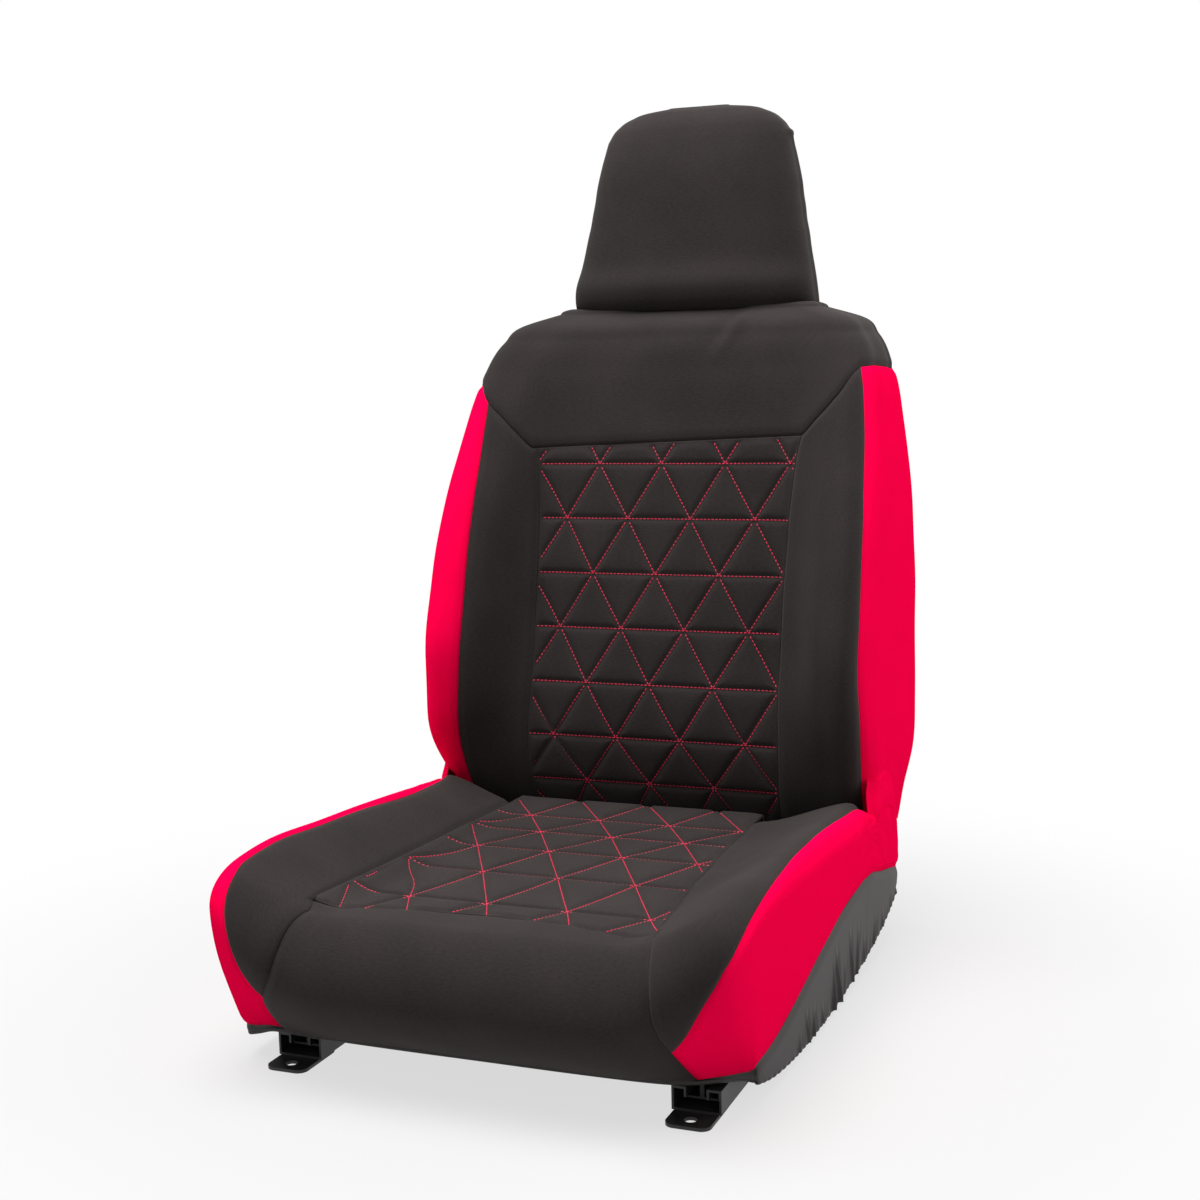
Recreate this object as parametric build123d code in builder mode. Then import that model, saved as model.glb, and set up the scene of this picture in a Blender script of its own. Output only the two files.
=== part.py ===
"""Front car seat dressed in a fitted two-colour cover: rails, frame, recliner, pads and covers.

Millimetres, +Z up.  +X is the sitter's left, -Y is the front.  The origin is the centre of the
four floor bolt holes, on the floor.
"""
from build123d import *
from math import cos, radians, sin, tan
import os

os.makedirs("parts", exist_ok=True)

# ---------------------------------------------------------------- driving dimensions
SIDES = {"left": 1, "right": -1}

# covers and pads
cover_thickness = 4.0        # neoprene-type cloth of the headrest hood
cushion_half_width = 245.0
back_half_width = 249.0
cushion_nose_y = -303.0      # foremost point of the front roll
cushion_rear_y = 290.0       # rear end of the side skirts
quilt_half_width = 140.0     # half width of the stitched centre panels
seat_frame_top = 80.0        # top of the cushion frame

# slide rails
rail_spacing = 380.0
rail_length = 450.0
rail_width = 44.0
rail_height = 21.0
rail_sheet = 2.0
rail_slot_half = 9.0
rail_lip_drop = 7.0
window_pitch = 10.0
window_length = 6.0
window_count = 30
upper_rail_length = 420.0
upper_web = 4.0
upper_flange_half = 16.0
upper_upturn = 9.0
upper_rail_top = 44.0
glide_length = 30.0
glide_clearance = 0.1

# floor feet
foot_thickness = 3.0
foot_hole_spacing = 480.0    # fore and aft
foot_hole_radius = 5.5
foot_length = 62.0
foot_width = 40.0

# cushion frame
plate = 2.0                  # pressed steel
frame_front_y = -225.0
frame_rear_y = 250.0
tube_radius = 11.0
tube_wall = 2.0
front_tube_y = -130.0
front_tube_z = 60.0
rear_tube_y = 188.0
rear_tube_z = 66.0
spring_wire_radius = 1.8
spring_count = 4
spring_swing = 20.0
spring_pitch = 22.0
spring_loops = 10
pan_sheet = 1.5
pan_rear_y = -60.0

# recliner, on the hinge axis of the backrest
hinge_y = 215.0
hinge_z = 100.0
bracket_plate = 4.0
disc_radius = 36.0
disc_half = 6.0
shaft_radius = 6.0
running_clearance = 0.05
arc_radius = 71.5            # circle about the hinge where the cushion's sides meet the backrest
arc_gap = 3.0

# lever
lever_length = 135.0
lever_thickness = 11.0
lever_gap = 4.0              # lever to the skirt

# towel bar and latches
bar_radius = 5.0
bar_pivot_y = -60.0
bar_pivot_z = 36.0
bar_front_y = -200.0
latch_plate = 3.0
latch_tooth_count = 3
latch_tooth_height = 2.5
latch_tooth_middle = 45.0    # middle tooth, behind the pivot
latch_arm = 60.0             # pivot to the rear end of the toothed plate
latch_clearance = 0.2
pivot_pin_radius = 4.0

# backrest
back_lean = 12.8             # degrees
back_bottom_z = 120.0
back_top_z = 675.0
side_seam_bottom_x = 228.0
side_seam_top_x = 213.0
junction_z = 609.0
quilt_top_z = 539.0
quilt_top_half = 152.0
post_spacing = 142.0
post_radius = 6.0
post_y = 352.0               # post axis at post_z
post_z = 650.0
guide_radius = 12.5
guide_bore = 10.2
guide_bottom_z = 575.0
guide_top_z = 656.0

# headrest
hood_bottom_z = 685.0
headrest_top_z = 899.0
headrest_half_bottom = 140.0
headrest_half_top = 108.0
headrest_depth = 92.0
notch_pitch = 20.0
notch_count = 4

# ---------------------------------------------------------------- derived places
rail_x = rail_spacing / 2
rail_floor_z = foot_thickness
rail_top_z = rail_floor_z + rail_height
side_plate_x = rail_x + upper_web / 2            # inner face of the cushion side member
bracket_x = side_plate_x + plate
disc_x = bracket_x + bracket_plate
back_plate_x = disc_x + 2 * disc_half            # inner face of the backrest side member
frame_pocket_x = back_plate_x + plate + 2.0      # half width of the pocket for the frame
skirt_inner_x = cushion_half_width - 11.0
narrow_back_x = skirt_inner_x - 3.5              # the backrest's half width beside the hinge
lean = radians(back_lean)
lean_dir = Vector(0, sin(lean), cos(lean))


def save(piece, name):
    """Label one finished sub-part and write its STEP file."""
    piece.label = name
    export_step(piece, f"parts/{name}.step")


def post_point(z, x=0.0):
    """The point of the headrest post's axis at height z."""
    return (x, post_y + (z - post_z) * tan(lean), z)


def lean_plane(z, x=0.0):
    """A plane square to the headrest posts, at height z on their axis."""
    return Plane(origin=post_point(z, x), x_dir=(1, 0, 0), z_dir=lean_dir)


# ---------------------------------------------------------------- soft forms
# Cushion stations from nose to rear: y, half width, centre top, bolster top, bottom.
CUSHION_STATIONS = [
    (cushion_nose_y, 0.62, 121, 120, 82),
    (cushion_nose_y + 8, 0.82, 137, 141, 58),
    (cushion_nose_y + 26, 0.945, 148, 171, 40),
    (cushion_nose_y + 58, 0.985, 152, 188, 26),
    (cushion_nose_y + 110, 1.0, 149, 194, 20),
    (-100, 1.0, 144, 192, 14),
    (20, 1.0, 144, 186, 14),
    (120, 1.0, 149, 179, 14),
    (205, 1.0, 154, 176, 15),
    (cushion_rear_y, 1.0, 158, 174, 16),
]

# Backrest stations from bottom to top: z, half width, centre front, bolster front, rear.
BACK_STATIONS = [
    (back_bottom_z, 0.930, 222, 218, 334),
    (150, 0.945, 203, 197, 345),
    (200, 0.975, 190, 172, 354),
    (255, 0.99, 192, 148, 358),
    (306, 0.995, 203, 141, 360),
    (390, 0.99, 222, 160, 365),
    (476, 0.96, 243, 194, 370),
    (550, 0.915, 260, 232, 373),
    (610, 0.868, 276, 264, 377),
    (645, 0.82, 288, 285, 381),
    (664, 0.745, 302, 302, 381),
    (back_top_z, 0.60, 326, 326, 374),
]

# Headrest stations from bottom to top: z, half width, centre y, half depth.
HEADREST_STATIONS = [
    (hood_bottom_z, headrest_half_bottom, 366, headrest_depth / 2),
    (hood_bottom_z + 85, headrest_half_bottom - 16, 376, headrest_depth / 2 + 1),
    (hood_bottom_z + 165, headrest_half_top, 386, headrest_depth / 2 - 5),
    (headrest_top_z - 16, headrest_half_top - 10, 389, headrest_depth / 2 - 14),
    (headrest_top_z, headrest_half_top - 30, 390, headrest_depth / 2 - 28),
]


def half_loop(right_side):
    """Mirror the right-hand points of a section into a closed loop of points."""
    inner = [p for p in reversed(right_side) if abs(p[0]) > 0.001]
    return right_side + [(-x, v) for x, v in inner]


def cushion_section(width, top, bolster, bottom):
    """Half an upright section of the cushion: a low centre between two raised bolsters."""
    half = width * cushion_half_width
    return [
        (0, top),
        (0.30 * half, top),
        (0.58 * half, top + 1),
        (0.78 * half, bolster - 0.30 * (bolster - top)),
        (0.92 * half, bolster - 2),
        (half, bolster - 0.22 * (bolster - bottom)),
        (half, bottom + 0.35 * (bolster - bottom)),
        (0.985 * half, bottom + 0.10 * (bolster - bottom)),
        (0.90 * half, bottom),
        (0.45 * half, bottom),
        (0, bottom),
    ]


def back_section(width, front, bolster, rear):
    """Half a level section of the backrest: a hollow front between two forward bolsters."""
    half = width * back_half_width
    depth = rear - bolster
    return [
        (0, front),
        (0.30 * half, front),
        (0.58 * half, front - 2),
        (0.77 * half, front - 0.72 * (front - bolster)),
        (0.90 * half, bolster),
        (0.985 * half, bolster + 0.17 * depth),
        (half, bolster + 0.45 * depth),
        (half, bolster + 0.80 * depth),
        (0.93 * half, rear),
        (0.50 * half, rear + 5),
        (0, rear + 6),
    ]


def headrest_form(inset, top_inset):
    """The headrest's body, a loft of level rounded sections, inset all round."""
    with BuildPart() as form:
        last = len(HEADREST_STATIONS) - 1
        for index, (z, half_width, y, half_depth) in enumerate(HEADREST_STATIONS):
            half, depth = half_width - inset, half_depth - inset
            loop = half_loop([
                (0, y - depth),
                (0.50 * half, y - 0.985 * depth),
                (0.86 * half, y - 0.84 * depth),
                (half, y - 0.36 * depth),
                (half, y + 0.36 * depth),
                (0.86 * half, y + 0.84 * depth),
                (0.50 * half, y + 0.985 * depth),
                (0, y + depth),
            ])
            with BuildSketch(Plane.XY.offset(z - (top_inset if index == last else 0))):
                with BuildLine():
                    Spline(*loop, periodic=True)
                make_face()
        loft()
    return form.part


def prism_x(points, x_low, x_high):
    """A solid with a polygonal outline in the YZ plane, from x_low to x_high."""
    with BuildPart() as prism:
        with BuildSketch(Plane.YZ.offset(x_low)):
            with BuildLine():
                Polyline(*points, close=True)
            make_face()
        extrude(amount=x_high - x_low)
    return prism.part


def prism_y(points, y_low, y_high):
    """A solid with a polygonal outline in the XZ plane, from y_low to y_high."""
    with BuildPart() as prism:
        with BuildSketch(Plane.XZ.offset(-y_high)):
            with BuildLine():
                Polyline(*points, close=True)
            make_face()
        extrude(amount=y_high - y_low)
    return prism.part


def prism_z(points, z_low, z_high):
    """A solid with a polygonal outline in the XY plane, from z_low to z_high."""
    with BuildPart() as prism:
        with BuildSketch(Plane.XY.offset(z_low)):
            with BuildLine():
                Polyline(*points, close=True)
            make_face()
        extrude(amount=z_high - z_low)
    return prism.part


def hinge_cylinder(radius, x_low, x_high):
    """A cylinder about the recline axis, from x_low to x_high."""
    with BuildPart() as drum:
        with BuildSketch(Plane.YZ.offset(x_low)):
            with Locations((hinge_y, hinge_z)):
                Circle(radius)
        extrude(amount=x_high - x_low)
    return drum.part


def span(side, inner, outer):
    """The low and high x of a slab that lies on one side, between two distances from the middle."""
    return sorted((side * inner, side * outer))


FAR = 400.0

# ---------------------------------------------------------------- cushion pads
# The rear face stays clear of the backrest at its most upright.
REAR_LINE = [(157, 230), (160, 190), (176, 160), (196, 116), (204, 60), (204, 0)]
HEM_LINE = [(-FAR, 27), (-210, 27), (-120, 19), (90, 19), (200, 37), (258, 60), (FAR, 90)]
BAND_LINE = [(-310, 34), (-262, 40), (-180, 62), (-60, 96), (100, 124), (220, 140), (320, 150)]
pad_bottom_z = 52.0
frame_pocket_top = seat_frame_top + 6
quilt_front_y = -205.0
quilt_front_half = quilt_half_width + 8
roll_tip_half = 188.0
band_inner_x = 217.0

with BuildPart() as cushion_body:
    for y, width, top, bolster, bottom in CUSHION_STATIONS:
        with BuildSketch(Plane.XZ.offset(-y)):
            with BuildLine():
                Spline(*half_loop(cushion_section(width, top, bolster, bottom)), periodic=True)
            make_face()
    loft()
    add(prism_x(REAR_LINE + [(FAR, 0), (FAR, 230)], -skirt_inner_x, skirt_inner_x), mode=Mode.SUBTRACT)
    add(prism_x(HEM_LINE + [(FAR, -20), (-FAR, -20)], -FAR, FAR), mode=Mode.SUBTRACT)
    add(prism_x([(-212, -20), (-212, 34), (-190, pad_bottom_z), (FAR, pad_bottom_z), (FAR, -20)],
                -skirt_inner_x, skirt_inner_x), mode=Mode.SUBTRACT)
    add(prism_x([(frame_front_y - 4, -20), (frame_front_y - 4, frame_pocket_top - 12),
                 (frame_front_y + 30, frame_pocket_top), (FAR, frame_pocket_top), (FAR, -20)],
                -disc_x - 1, disc_x + 1), mode=Mode.SUBTRACT)
    for side in SIDES.values():
        add(hinge_cylinder(60, *span(side, bracket_x - 1, skirt_inner_x)), mode=Mode.SUBTRACT)
        add(prism_x([(130, 30), (130, 90), (175, 140), (FAR, 140), (FAR, 30)],
                    *span(side, bracket_x - 1, disc_x + 1)), mode=Mode.SUBTRACT)
        behind = prism_x([(hinge_y - 40, -20), (hinge_y - 40, 260), (FAR, 260), (FAR, -20)],
                         *span(side, skirt_inner_x, FAR))
        arc = hinge_cylinder(arc_radius - arc_gap / 2, *span(side, skirt_inner_x, FAR))
        add(behind - arc, mode=Mode.SUBTRACT)
    add(hinge_cylinder(shaft_radius + 8, *span(-1, skirt_inner_x, FAR)), mode=Mode.SUBTRACT)

with BuildPart() as cushion_quilt:
    add(cushion_body.part)
    add(prism_z([(-quilt_half_width, 260), (quilt_half_width, 260), (quilt_front_half, quilt_front_y),
                 (-quilt_front_half, quilt_front_y)], -20, 260), mode=Mode.INTERSECT)
save(cushion_quilt.part, "cushion_quilt")

with BuildPart() as cushion_front_roll:
    add(cushion_body.part)
    add(prism_z([(-quilt_front_half, quilt_front_y), (quilt_front_half, quilt_front_y),
                 (roll_tip_half, -FAR), (-roll_tip_half, -FAR)], -20, 260), mode=Mode.INTERSECT)
save(cushion_front_roll.part, "cushion_front_roll")

for name, side in SIDES.items():
    with BuildPart() as cushion_bolster:
        add(cushion_body.part)
        add(prism_z([(side * quilt_half_width, 260), (side * quilt_front_half, quilt_front_y),
                     (side * roll_tip_half, -FAR), (side * band_inner_x, -FAR),
                     (side * band_inner_x, 260)], -20, 260), mode=Mode.INTERSECT)
    save(cushion_bolster.part, f"cushion_bolster_{name}")
    with BuildPart() as cushion_band:
        add(cushion_body.part)
        add(prism_x(BAND_LINE + [(320, 260), (-310, 260)], *span(side, band_inner_x, FAR)),
            mode=Mode.INTERSECT)
    save(cushion_band.part, f"cushion_red_band_{name}")
    with BuildPart() as cushion_skirt:
        add(cushion_body.part)
        add(prism_x(BAND_LINE + [(320, -20), (-310, -20)], *span(side, skirt_inner_x, FAR)),
            mode=Mode.INTERSECT)
    save(cushion_skirt.part, f"cushion_skirt_{name}")

# ---------------------------------------------------------------- slide rails
for name, side in SIDES.items():
    x0 = side * rail_x
    with BuildPart() as lower_rail:
        with BuildSketch(Plane.XZ.offset(-rail_length / 2)):
            with Locations((x0, rail_floor_z + rail_height / 2)):
                Rectangle(rail_width, rail_height)
                Rectangle(rail_width - 2 * rail_sheet, rail_height - 2 * rail_sheet, mode=Mode.SUBTRACT)
            with Locations((x0, rail_top_z - rail_sheet / 2)):
                Rectangle(2 * rail_slot_half, rail_sheet, mode=Mode.SUBTRACT)
            lip_x = rail_slot_half + rail_sheet / 2
            with Locations((x0 - lip_x, rail_top_z - rail_lip_drop / 2 - rail_sheet / 2),
                           (x0 + lip_x, rail_top_z - rail_lip_drop / 2 - rail_sheet / 2)):
                Rectangle(rail_sheet, rail_lip_drop + rail_sheet)
        extrude(amount=rail_length)
        window_z = rail_top_z - rail_lip_drop - rail_sheet / 2
        with Locations((x0 - side * lip_x, -10, window_z + 2.5)):
            with GridLocations(0, window_pitch, 1, window_count):
                Box(rail_sheet + 1, window_length, 5, mode=Mode.SUBTRACT)
    save(lower_rail.part, f"lower_rail_{name}")

    with BuildPart() as upper_rail:
        foot_z = rail_floor_z + rail_sheet + 3.5
        with BuildSketch(Plane.XZ.offset(-upper_rail_length / 2)):
            with Locations((x0, (foot_z + upper_rail_top) / 2)):
                Rectangle(upper_web, upper_rail_top - foot_z)
            with Locations((x0, foot_z + rail_sheet / 2)):
                Rectangle(2 * upper_flange_half, rail_sheet)
            upturn_x = upper_flange_half - rail_sheet / 2
            with Locations((x0 - upturn_x, foot_z + upper_upturn / 2),
                           (x0 + upturn_x, foot_z + upper_upturn / 2)):
                Rectangle(rail_sheet, upper_upturn)
        extrude(amount=upper_rail_length)
        with BuildSketch(Plane.YZ.offset(x0)):
            with Locations((-170, 35), (-20, 35), (150, 35)):
                Circle(4.2)
        extrude(amount=upper_web, both=True, mode=Mode.SUBTRACT)
        with BuildSketch(Plane.YZ.offset(x0)):
            with Locations((bar_pivot_y, bar_pivot_z)):
                Circle(pivot_pin_radius)
        extrude(amount=upper_web, both=True, mode=Mode.SUBTRACT)
    save(upper_rail.part, f"upper_rail_{name}")

glide_floor_z = rail_floor_z + rail_sheet + glide_clearance
glide_outer = rail_width / 2 - rail_sheet - glide_clearance
with BuildPart() as rail_glides:
    for x0 in (-rail_x, rail_x):
        for hand in (-1, 1):
            for y0 in (-upper_rail_length / 2 + 40, upper_rail_length / 2 - 40 - glide_length):
                with BuildSketch(Plane.XZ.offset(-(y0 + glide_length))):
                    with BuildLine():
                        Polyline(
                            (x0 + hand * 7, glide_floor_z),
                            (x0 + hand * glide_outer, glide_floor_z),
                            (x0 + hand * glide_outer, foot_z + upper_upturn + 2),
                            (x0 + hand * upper_flange_half, foot_z + upper_upturn + 2),
                            (x0 + hand * upper_flange_half, foot_z),
                            (x0 + hand * 7, foot_z),
                            close=True,
                        )
                    make_face()
                extrude(amount=glide_length)
save(rail_glides.part, "rail_glides")

for end, direction in (("front", -1), ("rear", 1)):
    with BuildPart() as floor_feet:
        for x0 in (-rail_x, rail_x):
            hole_y = direction * foot_hole_spacing / 2
            middle_y = hole_y - direction * (foot_length / 2 - foot_width / 2 + 6)
            with BuildSketch(Plane.XY):
                with Locations((x0, middle_y)):
                    RectangleRounded(foot_width, foot_length, 9)
                with Locations((x0, hole_y)):
                    Circle(foot_hole_radius, mode=Mode.SUBTRACT)
            extrude(amount=foot_thickness)
    save(floor_feet.part, f"{end}_floor_feet")

# ---------------------------------------------------------------- cushion frame
SIDE_OUTLINE = [
    (frame_front_y, 28), (frame_front_y, seat_frame_top - 20), (frame_front_y + 34, seat_frame_top),
    (frame_rear_y, seat_frame_top), (frame_rear_y, 28),
]
for name, side in SIDES.items():
    start = side_plate_x if side > 0 else -side_plate_x - plate
    with BuildPart() as side_member:
        with BuildSketch(Plane.YZ.offset(start)):
            with BuildLine():
                Polyline(*SIDE_OUTLINE, close=True)
            make_face()
            with Locations((-95, 58), (-20, 58), (55, 58)):
                Circle(13, mode=Mode.SUBTRACT)
            with Locations((-170, 35), (-20, 35), (150, 35)):
                Circle(4.2, mode=Mode.SUBTRACT)
        extrude(amount=plate)
        lip = 15.0
        lip_start = side_plate_x - lip if side > 0 else -side_plate_x
        with BuildSketch(Plane.YZ.offset(lip_start)):
            with BuildLine():
                Polyline(
                    (frame_front_y, seat_frame_top - 20), (frame_front_y + 34, seat_frame_top),
                    (frame_rear_y, seat_frame_top), (frame_rear_y, seat_frame_top - plate),
                    (frame_front_y + 34, seat_frame_top - plate), (frame_front_y, seat_frame_top - 22.5),
                    close=True,
                )
            make_face()
        extrude(amount=lip)
    save(side_member.part, f"cushion_side_member_{name}")

with BuildPart() as front_pan:
    pan_z = seat_frame_top + pan_sheet / 2
    pan_half = side_plate_x - lip - 0.2
    with BuildSketch(Plane.YZ.offset(-pan_half)):
        with BuildLine():
            FilletPolyline(
                (frame_front_y + 3, seat_frame_top - 40), (frame_front_y + 3, seat_frame_top - 21),
                (frame_front_y + 36, pan_z), (pan_rear_y, pan_z), radius=6,
            )
        trace(line_width=pan_sheet)
    extrude(amount=2 * pan_half)
    tab_front_y = frame_front_y + 50
    with BuildSketch(Plane.XY.offset(seat_frame_top)):
        with Locations((0, (tab_front_y + pan_rear_y) / 2)):
            Rectangle(2 * side_plate_x - 4, pan_rear_y - tab_front_y)
    extrude(amount=pan_sheet)
    with BuildSketch(Plane.XY.offset(seat_frame_top - 6)):
        with Locations((0, (tab_front_y + pan_rear_y) / 2)):
            with GridLocations(110, 0, 3, 1):
                SlotOverall(80, 40)
    extrude(amount=14, mode=Mode.SUBTRACT)
save(front_pan.part, "front_pan")

for name, y0, z0 in (("front", front_tube_y, front_tube_z), ("rear", rear_tube_y, rear_tube_z)):
    with BuildPart() as cross_tube:
        with BuildSketch(Plane.YZ.offset(-side_plate_x)):
            with Locations((y0, z0)):
                Circle(tube_radius)
                Circle(tube_radius - tube_wall, mode=Mode.SUBTRACT)
        extrude(amount=2 * side_plate_x)
    save(cross_tube.part, f"{name}_cross_tube")

spring_z = rear_tube_z + tube_radius + spring_wire_radius
with BuildPart() as seat_springs:
    for index in range(spring_count):
        x0 = (index - (spring_count - 1) / 2) * 78
        points = [(x0, pan_rear_y + 3, spring_z)]
        for loop_index in range(spring_loops):
            swing = spring_swing if loop_index % 2 else -spring_swing
            y1 = pan_rear_y + 12 + loop_index * spring_pitch
            points += [(x0 + swing, y1, spring_z), (x0 + swing, y1 + spring_pitch * 0.5, spring_z)]
        points.append((x0, rear_tube_y + 3, spring_z))
        with BuildLine() as wire:
            FilletPolyline(*points, radius=4.5)
        with BuildSketch(Plane(origin=points[0], z_dir=wire.line % 0)):
            Circle(spring_wire_radius)
        sweep(path=wire.line)
save(seat_springs.part, "seat_springs")

for name, side in SIDES.items():
    start = bracket_x if side > 0 else -bracket_x - bracket_plate
    with BuildPart() as recliner_bracket:
        with BuildSketch(Plane.YZ.offset(start)):
            with BuildLine():
                Polyline((138, 32), (138, 62), (172, 104), (258, 104), (frame_rear_y, 32), close=True)
            make_face()
            with Locations((hinge_y, hinge_z)):
                Circle(disc_radius + 6)
            with Locations((hinge_y, hinge_z)):
                Circle(shaft_radius + running_clearance, mode=Mode.SUBTRACT)
            with Locations((160, 52), (232, 46)):
                Circle(5.1, mode=Mode.SUBTRACT)
        extrude(amount=bracket_plate)
    save(recliner_bracket.part, f"recliner_bracket_{name}")

    for half_name, inner, radius in (("fixed", disc_x, disc_radius),
                                     ("turning", disc_x + disc_half, disc_radius - 3)):
        start = inner if side > 0 else -inner - disc_half
        with BuildPart() as recliner_disc:
            with BuildSketch(Plane.YZ.offset(start)):
                with Locations((hinge_y, hinge_z)):
                    Circle(radius)
                    Circle(shaft_radius + running_clearance, mode=Mode.SUBTRACT)
            extrude(amount=disc_half)
        save(recliner_disc.part, f"recliner_{half_name}_disc_{name}")

# ---------------------------------------------------------------- recline lever and cross shaft
lever_x = -(cushion_half_width + lever_gap)
with BuildPart() as cross_shaft:
    with BuildSketch(Plane.YZ.offset(lever_x - lever_thickness + 3)):
        with Locations((hinge_y, hinge_z)):
            Circle(shaft_radius)
    extrude(amount=back_plate_x + plate - (lever_x - lever_thickness + 3))
save(cross_shaft.part, "recliner_cross_shaft")

with BuildPart() as recline_lever:
    with BuildSketch(Plane.YZ.offset(lever_x - lever_thickness)):
        with BuildLine():
            Spline(
                (hinge_y + 20, hinge_z), (hinge_y + 2, hinge_z + 20), (hinge_y - 40, hinge_z + 13),
                (hinge_y - lever_length + 18, hinge_z - 1), (hinge_y - lever_length, hinge_z - 14),
                (hinge_y - lever_length + 12, hinge_z - 24), (hinge_y - 60, hinge_z - 20),
                (hinge_y - 2, hinge_z - 21), periodic=True,
            )
        make_face()
    extrude(amount=lever_thickness)
    fillet(recline_lever.faces().sort_by(Axis.X)[0].edges(), 3.5)
    with BuildSketch(Plane.YZ.offset(lever_x)):
        with Locations((hinge_y, hinge_z)):
            Circle(11)
    extrude(amount=-3)
    with BuildSketch(Plane.YZ.offset(lever_x)):
        with Locations((hinge_y, hinge_z)):
            Circle(shaft_radius)
    extrude(amount=-(lever_thickness - 3), mode=Mode.SUBTRACT)
save(recline_lever.part, "recline_lever")

# ---------------------------------------------------------------- towel bar and latches
latch_x = rail_x - 5.5                           # middle of the latch plate, in the rail's slot
bar_leg_x = latch_x - latch_plate / 2 - bar_radius
with BuildPart() as towel_bar:
    with BuildLine() as bar_path:
        FilletPolyline(
            (-bar_leg_x, bar_pivot_y - 8, bar_pivot_z), (-bar_leg_x, bar_front_y, bar_pivot_z),
            (bar_leg_x, bar_front_y, bar_pivot_z), (bar_leg_x, bar_pivot_y - 8, bar_pivot_z),
            radius=30,
        )
    with BuildSketch(Plane(origin=(-bar_leg_x, bar_pivot_y - 8, bar_pivot_z), z_dir=(0, -1, 0))):
        Circle(bar_radius)
    sweep(path=bar_path.line)
save(towel_bar.part, "towel_bar")

comb_z = rail_top_z - rail_lip_drop - rail_sheet / 2 + 0.5
lip_inner_x = rail_x - rail_slot_half
with BuildPart() as latch_plates:
    for side in SIDES.values():
        with BuildSketch(Plane.YZ.offset(side * latch_x - latch_plate / 2)):
            with Locations((bar_pivot_y, bar_pivot_z)):
                Circle(9)
            with BuildLine():
                Polyline((bar_pivot_y - 30, bar_pivot_z - 5), (bar_pivot_y - 30, bar_pivot_z + 5),
                         (bar_pivot_y, bar_pivot_z + 8), (bar_pivot_y + latch_arm, bar_pivot_z - 2),
                         (bar_pivot_y + latch_arm, comb_z), (bar_pivot_y + 24, comb_z),
                         (bar_pivot_y + 20, bar_pivot_z - 9), (bar_pivot_y, bar_pivot_z - 8), close=True)
            make_face()
            with Locations((bar_pivot_y, bar_pivot_z)):
                Circle(pivot_pin_radius + running_clearance, mode=Mode.SUBTRACT)
        extrude(amount=latch_plate)
        tooth_reach = latch_x - latch_plate / 2 - lip_inner_x - latch_clearance
        tooth_x = side * (lip_inner_x + latch_clearance + tooth_reach / 2)
        with Locations((tooth_x, bar_pivot_y + latch_tooth_middle, comb_z + latch_tooth_height / 2)):
            with GridLocations(0, window_pitch, 1, latch_tooth_count):
                Box(tooth_reach, window_length - 1, latch_tooth_height)
save(latch_plates.part, "latch_plates")

with BuildPart() as latch_pivot_pins:
    for side in SIDES.values():
        inner = latch_x - latch_plate / 2 - 3
        start = inner if side > 0 else -side_plate_x
        with BuildSketch(Plane.YZ.offset(start)):
            with Locations((bar_pivot_y, bar_pivot_z)):
                Circle(pivot_pin_radius)
        extrude(amount=side_plate_x - inner)
save(latch_pivot_pins.part, "latch_pivot_pins")

# ---------------------------------------------------------------- backrest pads
REAR_SEAM = [(322, 60), (331, 150), (342, 255), (348, 390), (355, 550), (360, 610), (366, 642)]
YOKE_SEAM = [(quilt_top_half, quilt_top_z), (quilt_top_half + 33, quilt_top_z + 21),
             (side_seam_top_x - 8, junction_z - 22), (side_seam_top_x, junction_z)]
hoop_y = post_point(628)[1] - (guide_radius + tube_radius) * cos(lean)
hoop_z = 628 + (guide_radius + tube_radius) * sin(lean)
pocket_top_z = hoop_z + tube_radius + 3
FRAME_POCKET = [(190, 60), (190, 128), (220, 190), (249, 300), (265, 430),
                (hoop_y - tube_radius - 3, pocket_top_z)]

guide_holes = []
for x0 in (-post_spacing / 2, post_spacing / 2):
    with BuildPart() as guide_hole:
        with BuildSketch(lean_plane(guide_bottom_z - 25, x0)):
            Circle(guide_radius + 0.5)
        extrude(amount=200)
    guide_holes.append(guide_hole.part)

with BuildPart() as back_body:
    for z, width, front, bolster, rear in BACK_STATIONS:
        with BuildSketch(Plane.XY.offset(z)):
            with BuildLine():
                Spline(*half_loop(back_section(width, front, bolster, rear)), periodic=True)
            make_face()
    loft()
    add(hinge_cylinder(62, -narrow_back_x, narrow_back_x), mode=Mode.SUBTRACT)
    for side in SIDES.values():
        add(hinge_cylinder(arc_radius + arc_gap / 2, *span(side, narrow_back_x, FAR)), mode=Mode.SUBTRACT)
    for guide in guide_holes:
        add(guide, mode=Mode.SUBTRACT)

with BuildPart() as back_rear_panel:
    add(back_body.part)
    add(prism_x(REAR_SEAM + [(FAR + 200, 642), (FAR + 200, 60)], -FAR, FAR), mode=Mode.INTERSECT)
save(back_rear_panel.part, "back_rear_panel")

with BuildPart() as front_pads:
    add(back_body.part)
    add(prism_x(REAR_SEAM + [(FAR + 200, 642), (FAR + 200, 60)], -FAR, FAR), mode=Mode.SUBTRACT)
    add(prism_x(FRAME_POCKET + [(FAR + 200, pocket_top_z), (FAR + 200, 60)],
                -frame_pocket_x, frame_pocket_x), mode=Mode.SUBTRACT)

with BuildPart() as back_quilt:
    add(front_pads.part)
    add(prism_y([(-quilt_half_width, 60), (quilt_half_width, 60), (quilt_top_half, quilt_top_z),
                 (-quilt_top_half, quilt_top_z)], 60, FAR + 100), mode=Mode.INTERSECT)
save(back_quilt.part, "back_quilt")

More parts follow.
